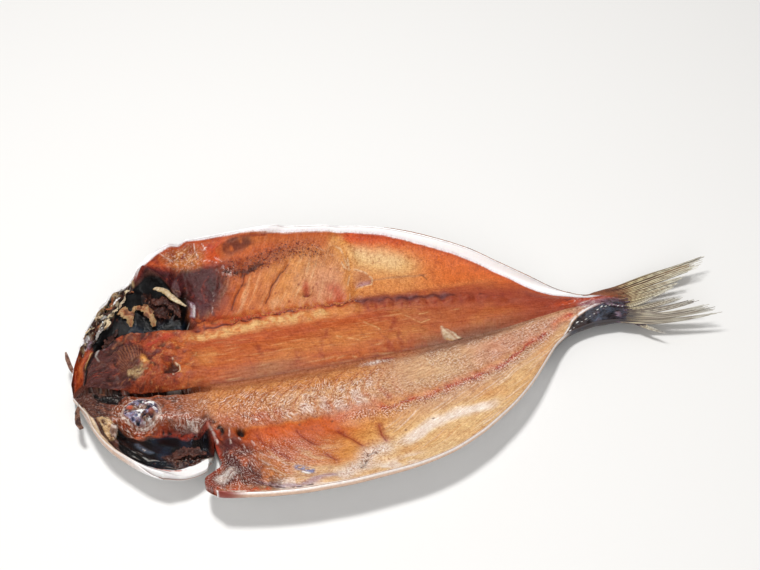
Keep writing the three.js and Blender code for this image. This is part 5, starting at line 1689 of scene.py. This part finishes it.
def ribbon(path, widths, thick, mid, edge, ragged, seed, arch=0.0):
    """Closed, crumpled strip with torn edges, as points, faces and colours; the colours carry painted light
    on the crumples and painted shade in the folds.
    """
    t = np.linspace(0, 1, RIBBON_STEPS + 1)
    px, py, pz = (curve(t) for curve in path_curves(path))
    width = through(list(zip(np.linspace(0, 1, len(path)), widths)))(t)
    dx = np.gradient(px)
    dy = np.gradient(py)
    run = np.hypot(dx, dy) + 1e-6
    w = np.linspace(-1, 1, RIBBON_ROWS + 1)
    side = np.sign(w)[None, :] * 4.0
    reach = t[:, None] * len(path)
    fray = 1 + ragged * (noise(reach * 3.1, side, seed) + 0.7 * noise(reach * 9, side, seed))
    out = 0.5 * width[:, None] * w[None, :] * fray
    x = px[:, None] - (dy / run)[:, None] * out
    y = py[:, None] + (dx / run)[:, None] * out
    crumple = noise(x / 1.5, y / 1.5, seed + 1) + 0.6 * noise(x / 0.6, y / 0.6, seed + 2)
    z = pz[:, None] + arch * (1 - w[None, :] ** 2) + ragged * crumple
    half = 0.5 * thick * np.sqrt(np.clip(1.02 - w[None, :] ** 4, 0, 1)) + 0 * x
    points = np.stack([np.stack([x, y, z + half], -1), np.stack([x, y, z - half], -1)])
    # Painted light and shade: paler on the raised crumples, bark in the folds; the paler edges are the
    # strip's own colour.
    shade = smooth(-0.4, 0.4, crumple)[..., None]
    pale = np.clip(0.7 * shade + 0.5 * (np.abs(w) ** 3)[None, :, None], 0, 1)
    colour = mix(tone(mid), tone(edge), pale)
    folds = smooth(-0.1, -0.6, crumple)[..., None]
    colour = mix(colour, tone("bark"), 0.85 * folds * min(1.0, 2.5 * ragged))
    way = np.stack([np.cumsum(run)[:, None] + 0 * x, out, 0 * x], -1) * MM
    both_sides = (np.concatenate([layer, layer]).reshape(-1, 3) for layer in (colour, way))
    return points.reshape(-1, 3), slab_faces(grid_of(x.shape)), *both_sides


def ribbons_piece(name, ribbons, wet, fibre):
    points, faces, colours, ways = zip(*ribbons)
    starts = np.cumsum([0] + [len(p) for p in points])
    faces = np.concatenate([f + start for f, start in zip(faces, starts)])
    piece = new_piece(name, np.concatenate(points), faces)
    turn_outward(piece)
    finish = np.tile([wet, 0.0, fibre, 0.0], (starts[-1], 1))
    colour_points(piece, np.concatenate(colours), finish, np.concatenate(ways))
    return piece


GILL_BONES = [
    ([(30.4, 42.2, 8.6), (33.4, 41, 9.6), (37, 38, 9.6), (40.6, 33, 9.2), (44.4, 29.4, 8.4)],
     [1.0, 3.2, 2.7, 2.2, 0.6], 0.4, "ivory", "olive_tan", 0.14, 200, 0.3),
    ([(30.8, 41.4, 8.4), (27.6, 36.4, 8.2), (25.4, 32.4, 7.6)], [0.5, 0.4, 0.3], 0.3, "tan", "umber", 0.1,
     203),
]
LIPS = [
    ([(1.7, 5.8, 6.4), (0.5, 9.4, 7.8), (-0.2, 12.6, 8.6), (-0.5, 15.2, 9.2)], [0.5, 1.5, 1.5, 0.7], 0.8,
     "umber", "grey_tan",
     0.03, 204, 0.1),
    ([(2.6, -6.2, 6.2), (0.9, -11.6, 7.4), (0.8, -16.2, 8.4), (1.8, -20, 9.0)], [0.9, 1.7, 2.0, 1.5], 0.8,
     "bark", "grey_tan",
     0.04, 205, 0.1),
]
TAN_SHREDS = [
    ([(18.2, 33, 7.2), (20.8, 32, 8.8), (23.2, 29.6, 8.2), (23.4, 26.4, 5.2)], [1.6, 4.6, 4.0, 1.0], 0.25,
     "tan", "olive_tan",
     0.3, 210),
    ([(24.4, 30.6, 6.4), (26, 32.8, 8.0), (28.6, 32.0, 8.6), (30.8, 28.8, 8.0), (31.8, 25.2, 5.0)],
     [1.0, 1.6, 2.8, 3.6, 1.4], 0.25, "tan", "olive_tan", 0.3, 213),
    ([(13.6, 24.6, 8.0), (15.8, 26.6, 9.0), (15.4, 29.4, 9.2)], [0.6, 1.5, 0.8], 0.3, "olive_tan", "ivory",
     0.3, 216),
    ([(15.4, 31.6, 8.6), (18, 31.4, 9.6), (20.6, 34.6, 9.8)], [0.8, 1.8, 0.8], 0.3, "bark", "ivory", 0.3,
     219),
    ([(10.6, 20.4, 7.6), (12, 23.4, 8.4), (14, 25, 8.2)], [0.6, 1.4, 0.6], 0.3, "umber", "silver", 0.3, 207),
]
BROWN_SHREDS = [
    ([(30, 34.4, 6.0), (33.4, 35.2, 7.6), (37.6, 33.6, 7.8), (40.6, 30.6, 6.8), (41.4, 27.4, 5.0)],
     [1.4, 3.8, 4.2, 3.4, 1.2], 0.3, "bark", "umber", 0.45, 222),
    ([(31, 31.4, 5.4), (34, 30.6, 6.8), (37, 27.6, 5.8)], [1.2, 4.0, 1.4], 0.3, "bark", "umber", 0.5, 225),
    ([(12.6, 16.4, 6.0), (15.6, 20.4, 6.8), (18.4, 25.6, 5.6)], [1.2, 3.2, 1.0], 0.3, "bark", "umber", 0.6,
     228),
    ([(27.6, -36.6, 4.8), (32, -36, 6.2), (37, -35.6, 6.6), (42.4, -37.4, 6.8)], [1.0, 3.6, 4.2, 1.2], 0.3,
     "bark", "umber", 0.4, 231),
    ([(8.4, -17.8, 7.4), (10.6, -18.8, 8.6), (12.4, -21, 8.2), (12.4, -24.6, 6.4)], [1.4, 3.0, 2.8, 1.2], 0.4,
     "grey_tan", "fat", 0.22, 234, 0.5),
]


def on_flesh(xs, ys, lift):
    v = share_at(xs, ys)
    return np.stack([xs, ys, heights(xs, v)[1] + lift], 1)


RIM_LINE = [(5, 14), (7.4, 18.6), (10.4, 23.4), (13.6, 27.8), (17.4, 31.8), (21.4, 35.2), (25, 38)]
RIM_FOLD_TONES = [("silver", "white"), ("umber", "ivory"), ("bark", "silver"), ("olive_tan", "ivory"),
                  ("bark", "tan")]


def rim_folds():
    """Short crumpled strips of silver skin and lining, strewn along the inside of the far gill cover."""
    strips = []
    rim_x, rim_y = path_curves(RIM_LINE)
    for k in range(15):
        t = k / 15 + np.linspace(0, 0.15, 4)
        inward = 0.6 + 1.1 * (k % 3) + 0.7 * noise(np.arange(4) * 1.7, k, 270)
        xs = rim_x(t) + 0.72 * inward - 1.0
        ys = rim_y(t) - 0.6 * inward + 1.0
        path = on_flesh(xs, ys, 0.5 + 0.5 * np.sin(np.arange(4) * 1.2 + k))
        widths = [0.3, 0.8 + 0.5 * (k % 2), 1.0, 0.3]
        strips.append((path.tolist(), widths, 0.22, *RIM_FOLD_TONES[k % 5], 0.4, 280 + 3 * k))
    return strips


STRIP_PIECES = [
    ("gill_bones", GILL_BONES, 0.6, 0.3), ("lips", LIPS, 0.5, 0.3), ("rim_folds", rim_folds(), 0.7, 0.2),
    ("tan_shreds", TAN_SHREDS, 0.5, 0.4), ("brown_shreds", BROWN_SHREDS, 0.9, 0.4),
]
for name, strips, wet, fibre in STRIP_PIECES:
    place(ribbons_piece(name, [ribbon(*strip) for strip in strips], wet, fibre), flesh, "flesh")


# Node trees for what repeats: fin rays, folded fin, scutes, crumbs
def start_tree(name, sizes):
    """Geometry tree with one input geometry and named number inputs."""
    tree = bpy.data.node_groups.new(name, "GeometryNodeTree")
    tree.interface.new_socket("Geometry", in_out="INPUT", socket_type="NodeSocketGeometry")
    for label, value in sizes.items():
        kind = "NodeSocketInt" if isinstance(value, int) else "NodeSocketFloat"
        tree.interface.new_socket(label, in_out="INPUT", socket_type=kind).default_value = value
    tree.interface.new_socket("Geometry", in_out="OUTPUT", socket_type="NodeSocketGeometry")
    return tree, add(tree, "NodeGroupInput", {}).outputs


def close_tree(tree, geometry, material):
    """Make the copies real and give them their material."""
    real = add(tree, "GeometryNodeRealizeInstances", {"Geometry": geometry}).outputs["Geometry"]
    dress = add(tree, "GeometryNodeSetMaterial", {"Geometry": real, "Material": material})
    add(tree, "NodeGroupOutput", {"Geometry": dress.outputs["Geometry"]})
    return tree


def random_between(tree, low, high, seed):
    """Random number for each copy; sockets 2 and 3 hold the range of a plain number."""
    return add(tree, "FunctionNodeRandomValue", {2: low, 3: high, "Seed": seed}, data_type="FLOAT").outputs[1]


def keep_field(tree, geometry, name, value, domain):
    """Store a number on the geometry under a name, for the material to read."""
    sockets = {"Geometry": geometry, "Name": name}
    node = add(tree, "GeometryNodeStoreNamedAttribute", sockets, data_type="FLOAT", domain=domain)
    tree.links.new(value, next(k for k in node.inputs if k.name == "Value" and k.enabled))
    return node.outputs["Geometry"]


def strand_tree(material):
    """Tapered, jointed strands along every line of the input mesh."""
    sizes = {"Root radius": 0.0004, "Tip radius": 0.0001, "Joint depth": 0.2, "Joint length": 0.0009,
             "Sides": 6, "Seed": 3}
    tree, given = start_tree("tapered_strands", sizes)
    lines = add(tree, "GeometryNodeMeshToCurve", {"Mesh": given["Geometry"]}).outputs["Curve"]
    along = add(tree, "GeometryNodeSplineParameter", {}).outputs
    ring = add(tree, "GeometryNodeCurvePrimitiveCircle", {"Resolution": given["Sides"], "Radius": 1.0})
    shrink = calc(tree, "SUBTRACT", given["Root radius"], given["Tip radius"])
    radius = calc(tree, "SUBTRACT", given["Root radius"], times(tree, shrink, along["Factor"]))
    turns = calc(tree, "DIVIDE", along["Length"], given["Joint length"])
    wave = calc(tree, "SINE", times(tree, turns, FULL_TURN))
    joint = calc(tree, "ADD", times(tree, wave, given["Joint depth"]), 1.0)
    shade = random_between(tree, 0.0, 1.0, given["Seed"])
    fields = (("ray_shade", shade, "CURVE"), ("ray_reach", along["Factor"], "POINT"),
              ("ray_joint", wave, "POINT"))
    for name, value, domain in fields:
        lines = keep_field(tree, lines, name, value, domain)
    sweep = add(tree, "GeometryNodeCurveToMesh", {
        "Curve": lines, "Profile Curve": ring.outputs["Curve"], "Scale": times(tree, radius, joint),
        "Fill Caps": True,
    })
    return close_tree(tree, sweep.outputs["Mesh"], material)


def scatter_tree(material):
    """Small crumbs or scales on every point of the input mesh, each of its own size and turn."""
    sizes = {"Length": 0.001, "Width": 0.0006, "Thickness": 0.0003, "Spread": 0.4, "Lean": 0.0, "Turn": 3.1,
             "Seed": 4}
    tree, given = start_tree("scattered_scales", sizes)

    def about(middle, spread):
        low = calc(tree, "SUBTRACT", middle, spread)
        return random_between(tree, low, calc(tree, "ADD", middle, spread), given["Seed"])

    grain = add(tree, "GeometryNodeMeshIcoSphere", {"Radius": 1.0, "Subdivisions": 1})
    size = about(1.0, given["Spread"])
    sides = [times(tree, given[label], size) for label in ("Length", "Width", "Thickness")]
    scale = add(tree, "ShaderNodeCombineXYZ", dict(enumerate(sides)))
    turn = add(tree, "ShaderNodeCombineXYZ", {"Z": about(given["Lean"], given["Turn"])})
    put = add(tree, "GeometryNodeInstanceOnPoints", {
        "Points": given["Geometry"], "Instance": grain.outputs["Mesh"],
        "Scale": scale.outputs["Vector"], "Rotation": turn.outputs["Vector"],
    })
    return close_tree(tree, put.outputs["Instances"], material)


def grow(name, tree, points, edges, sizes):
    """Run a tree on a scaffold of points and lines, and keep the result as a plain mesh."""
    scaffold = bpy.data.meshes.new(name + "_lines")
    scaffold.from_pydata(in_frame(points).tolist(), edges, [])
    piece = link_object(name, scaffold)
    run = piece.modifiers.new("grow", "NODES")
    run.node_group = tree
    sockets = {item.name: item.identifier for item in tree.interface.items_tree if item.in_out == "INPUT"}
    for label, value in sizes.items():
        run[sockets[label]] = value
    graph = bpy.context.evaluated_depsgraph_get()
    grown = bpy.data.meshes.new_from_object(piece.evaluated_get(graph))
    piece.modifiers.remove(run)
    piece.data = grown
    grown.name = name
    grown.polygons.foreach_set("use_smooth", [True] * len(grown.polygons))
    return piece


def lines_of(paths):
    """Points and edges of several open lines."""
    points = []
    edges = []
    for path in paths:
        first = len(points)
        points += [list(p) for p in path]
        edges += [(first + k, first + k + 1) for k in range(len(path) - 1)]
    return points, edges


# Tail fin: tips of the rays round the fork, by share from the near lobe to the far one
fin_tip_x = through([(0, 222), (0.05, 233), (0.12, 235.5), (0.19, 231), (0.27, 228), (0.35, 223.5),
                     (0.42, 213),
                     (0.48, 214), (0.54, 219), (0.62, 222.5), (0.7, 226), (0.78, 229), (0.87, 235.5),
                     (0.94, 238.5),
                     (1, 230)])
fin_tip_y = through([(0, -13.2), (0.05, -13.4), (0.12, -12.4), (0.19, -9.2), (0.27, -5.6), (0.35, -2.9),
                     (0.42, -0.9),
                     (0.48, 0.6), (0.54, 2.2), (0.62, 4.2), (0.7, 6.4), (0.78, 9.2), (0.87, 12.8),
                     (0.94, 16.2),
                     (1, 16.2)])
FIN_ROOT_X = 195.5
FIN_RAYS = 34
FIN_BUNDLES = [0.0, 0.12, 0.23, 0.32, 0.41, 0.5, 0.57, 0.64, 0.71, 0.79, 1.0]
BUNDLE_PINCH = 0.5


def bundled(t, s):
    """Share across the fin, drawn towards the middle of its bundle on the way out."""
    edges = np.array(FIN_BUNDLES)
    i = np.clip(np.searchsorted(edges, t, side="right") - 1, 0, len(edges) - 2)
    middle = (edges[i] + edges[i + 1]) / 2
    return middle + (t - middle) * (1 - BUNDLE_PINCH * smooth(0.3, 1, s))


def fin_point(t, s):
    """Middle of the fin at share t from the near to the far lobe and s from the root to the tip."""
    x0 = FIN_ROOT_X + 2.0 * np.sin(np.pi * t) - 5.5 * smooth(0.6, 1, t) - 2.0 * smooth(0.3, 0, t)
    y0 = 0.6 + 12.0 * (t - 0.5)
    bow = np.sin(np.pi * np.minimum(s, 1)) * (2 * t - 1) * 1.6
    drawn = bundled(t, s)
    x = mix(x0, fin_tip_x(drawn), s)
    y = mix(y0, fin_tip_y(drawn), s) + bow
    onto = 2.2 * smooth(0.3, 0.0, s) * smooth(0.45, 0.9, t)
    z = STEM_AXIS + onto + 3.2 * s * s * smooth(0, 1, s) + 1.2 * s * np.sin(t * 5 + 1)
    return x, y, z


def fin_rays():
    """Each ray forks twice on its way out and ends ragged."""
    paths = []
    steps = np.linspace(0, 1, 44)
    for k in range(FIN_RAYS):
        t0 = (k + 0.5) / FIN_RAYS
        for fork in (-1, 0, 1):
            spread = fork * 0.006 * smooth(0.3 + 0.1 * abs(fork), 1, steps)
            t = np.clip(t0 + spread + 0.003 * noise(steps * 5, k + fork * 0.3, 150), 0, 1)
            reach = 0.97 + 0.05 * float(noise(k * 3.1 + fork, 0.5, 151)) - 0.05 * abs(fork)
            x, y, z = fin_point(t, steps * reach)
            z = z + 0.25 * fork * steps + 0.25 * noise(steps * 4, k, 152) * steps
            paths.append(np.stack([x, y, z + 0.15], 1))
    return paths


def fin_web():
    """Thin web between the rays, torn back between the bundles."""
    columns, rows = 64, 204
    t = np.linspace(0.004, 0.996, rows + 1)
    cleft = sum(bell(t, c, 0.012) for c in FIN_BUNDLES[1:-1])
    ray = np.abs(np.sin(t * FIN_RAYS * np.pi))
    reach = 0.82 - 0.42 * np.clip(cleft, 0, 1) + 0.05 * ray + 0.05 * noise(t * 60, 0.5, 153)
    s = np.linspace(-0.08, 1, columns + 1)[:, None] * reach[None, :]
    T = np.broadcast_to(t[None, :], s.shape)
    x, y, z = fin_point(T, np.maximum(s, 0))
    x = x + np.minimum(s, 0) * 40
    fold = 0.16 * np.sin(T * 2 * FIN_RAYS * np.pi) * smooth(0, 0.2, s)
    edge = np.minimum(smooth(1.0, 0.9, s / reach[None, :]), smooth(0, 0.02, np.minimum(T - 0.004, 0.996 - T)))
    half = 0.06 + mix(0.5, 0.1, smooth(0, 0.5, s)) * np.sqrt(np.clip(edge, 0, 1))
    top = np.stack([x, y, z + fold + half], -1).reshape(-1, 3)
    low = np.stack([x, y, z + fold - half], -1).reshape(-1, 3)
    piece = new_piece("tail_fin_web", np.concatenate([top, low]), slab_faces(grid_of(s.shape)))
    turn_outward(piece)
    shade = 0.5 - 0.5 * np.cos(T * 2 * FIN_RAYS * np.pi) + 0.3 * noise(T * 90, s * 3, 154)
    joint = np.sin(s * 270 + 9 * T) * (0.5 + 0.5 * smooth(0.9, 0.97, T))
    for name, values in (("ray_shade", shade), ("ray_reach", s), ("ray_joint", joint)):
        layer = piece.data.attributes.new(name, "FLOAT", "POINT")
        layer.data.foreach_set("value", np.concatenate([values.ravel(), values.ravel()]))
    return piece


def spur_rays():
    """Short broken rays that stick out below the near lobe."""
    paths = []
    steps = np.linspace(0, 1, 20)
    for k in range(5):
        x = mix(203 + 0.8 * k, 212.4 - 0.9 * k, steps)
        y = mix(-8.6 - 0.3 * k, -15.8 + 0.9 * k, steps) - 0.5 * np.sin(np.pi * steps)
        z = mix(STEM_AXIS, STEM_AXIS + 0.4 + 0.1 * k, steps)
        paths.append(np.stack([x, y, z], 1))
    return paths


def folded_fin():
    """Anal fin folded flat along the outer edge of the far half."""
    paths = []
    steps = np.linspace(0, 1, 26)
    for k in range(34):
        x = np.minimum(112 + 2.35 * k + 15 * steps, 194)
        grown = smooth(112, 128, x)
        out = grown * (0.1 + 0.6 * steps * (1 - 0.6 * steps)) + 0.1 * noise(steps * 3, k, 160)
        height = heights(x, np.ones_like(x))[1] - 0.3 - 0.5 * steps + 0.4 * grown
        paths.append(np.stack([x, far_edge(x) + out, height], 1))
    return paths


# Keeled scutes along the dark side of the stem, and crumbs on the cut bone and the lining
SCUTE_ROW = [(178.4, -8.0), (181, -6.4), (184.4, -4.8), (188, -3.6), (192, -1.8), (198.4, -0.1), (203, 0.4)]
BONE_LINE = [(58, 16.6), (72, 17.8), (84, 18.4), (96, 18.4), (105, 18)]
LINING_LINE = [(60, 42.6), (68, 43.2), (78, 45.2), (88, 46.4), (97, 44.4)]


def scute_points():
    row = through(SCUTE_ROW)
    xs = np.linspace(178.6, 200.6, 14)
    return on_flesh(xs, row(xs) + 0.7 * noise(xs * 2.1, 0 * xs, 170), 0.12)


def crumb_points(count, line, spread, seed):
    t = np.arange(count) / count
    line_x, line_y = path_curves(line)
    xs = line_x(t) + 1.2 * noise(t * 400, 0 * t, seed)
    ys = line_y(t) + spread * noise(t * 531, 0 * t + 3, seed + 1)
    return on_flesh(xs, ys, 0.1)


fin_ray_finish = fin_material("dried_fin_rays", "fin_violet", "fin_khaki", "fin_tip", "fin_line", 0.3)
fin_web_finish = fin_material("dried_fin_web", "fin_dark", "fin_brown", "olive_tan", "fin_dark", 0.36)
folded_finish = fin_material("folded_fin", "umber", "gold", "straw", "fin_line", 0.1)
strands = strand_tree(fin_ray_finish)
ray_sizes = {"Root radius": 0.00032, "Tip radius": 0.0001, "Joint depth": 0.12, "Joint length": 0.00085,
             "Sides": 6}
place(grow("tail_fin_rays", strands, *lines_of(fin_rays() + spur_rays()), ray_sizes), fin_ray_finish, "fin")
place(fin_web(), fin_web_finish, "fin")
folded_strands = strand_tree(folded_finish)
folded_sizes = {"Root radius": 0.00022, "Tip radius": 0.0001, "Joint depth": 0.1, "Joint length": 0.0011,
                "Sides": 5}
place(grow("folded_anal_fin", folded_strands, *lines_of(folded_fin()), folded_sizes), folded_finish, "fin")
SMALL_PIECES = [
    ("stem_scutes", "pale_scutes", "silver", "white", scute_points(), "skin",
     {"Length": 0.0006, "Width": 0.0002, "Thickness": 0.00022, "Spread": 0.4, "Lean": 0.3, "Turn": 0.3}),
    ("bone_crumbs", "bone_crumbs", "brick", "amber_pale", crumb_points(110, BONE_LINE, 1.6, 180), "flesh",
     {"Length": 0.0006, "Width": 0.00035, "Thickness": 0.0003, "Spread": 0.5, "Seed": 5}),
    ("lining_crumbs", "lining_crumbs", "bark", "brick", crumb_points(420, LINING_LINE, 3.6, 190), "flesh",
     {"Length": 0.00024, "Width": 0.00016, "Thickness": 0.00012, "Spread": 0.5, "Seed": 6}),
]
for name, finish_name, dark, pale, points, finish, sizes in SMALL_PIECES:
    material = crumb_material(finish_name, dark, pale)
    place(grow(name, scatter_tree(material), points, [], sizes), material, finish)


# Floor, lights and camera
def studio():
    floor_mesh = bpy.data.meshes.new("floor")
    signs = [(-1, -1), (1, -1), (1, 1), (-1, 1)]
    corners = [(sx * FLOOR_REACH, sy * FLOOR_REACH, -FLOOR_DROP) for sx, sy in signs]
    floor_mesh.from_pydata(corners, [], [(0, 1, 2, 3)])
    floor = link_object("floor", floor_mesh)
    material, tree, shader = start_material("pale_floor")
    fill(tree, shader, {"Base Color": (0.86, 0.855, 0.845, 1), "Roughness": 0.7})
    floor.data.materials.append(material)
    world = bpy.data.worlds.new("studio")
    world.use_nodes = True
    sky = world.node_tree.nodes["Background"]
    fill(world.node_tree, sky, {"Color": (1.0, 0.99, 0.98, 1), "Strength": 0.36})
    bpy.context.scene.world = world
    for light in LIGHTS:
        add_light(*light)
    bpy.context.scene.view_settings.view_transform = "Standard"


def add_light(name, place, size, watts, colour):
    data = bpy.data.lights.new(name, "AREA")
    data.size = size
    data.energy = watts
    data.color = colour
    light = link_object(name, data)
    light.location = place
    light.rotation_euler = (-Vector(place)).to_track_quat("-Z", "Y").to_euler()


def photo_camera():
    """Camera where the photograph was taken from, 47 degrees above the fish and 12 to its left."""
    data = bpy.data.cameras.new("camera")
    data.lens = CAMERA_LENS
    data.sensor_width = 36
    camera = link_object("camera", data)
    camera.location = in_frame(CAMERA_PLACE)
    aim = Vector(in_frame(CAMERA_AIM)) - camera.location
    camera.rotation_euler = aim.to_track_quat("-Z", "Y").to_euler()
    bpy.context.scene.camera = camera


studio()
photo_camera()
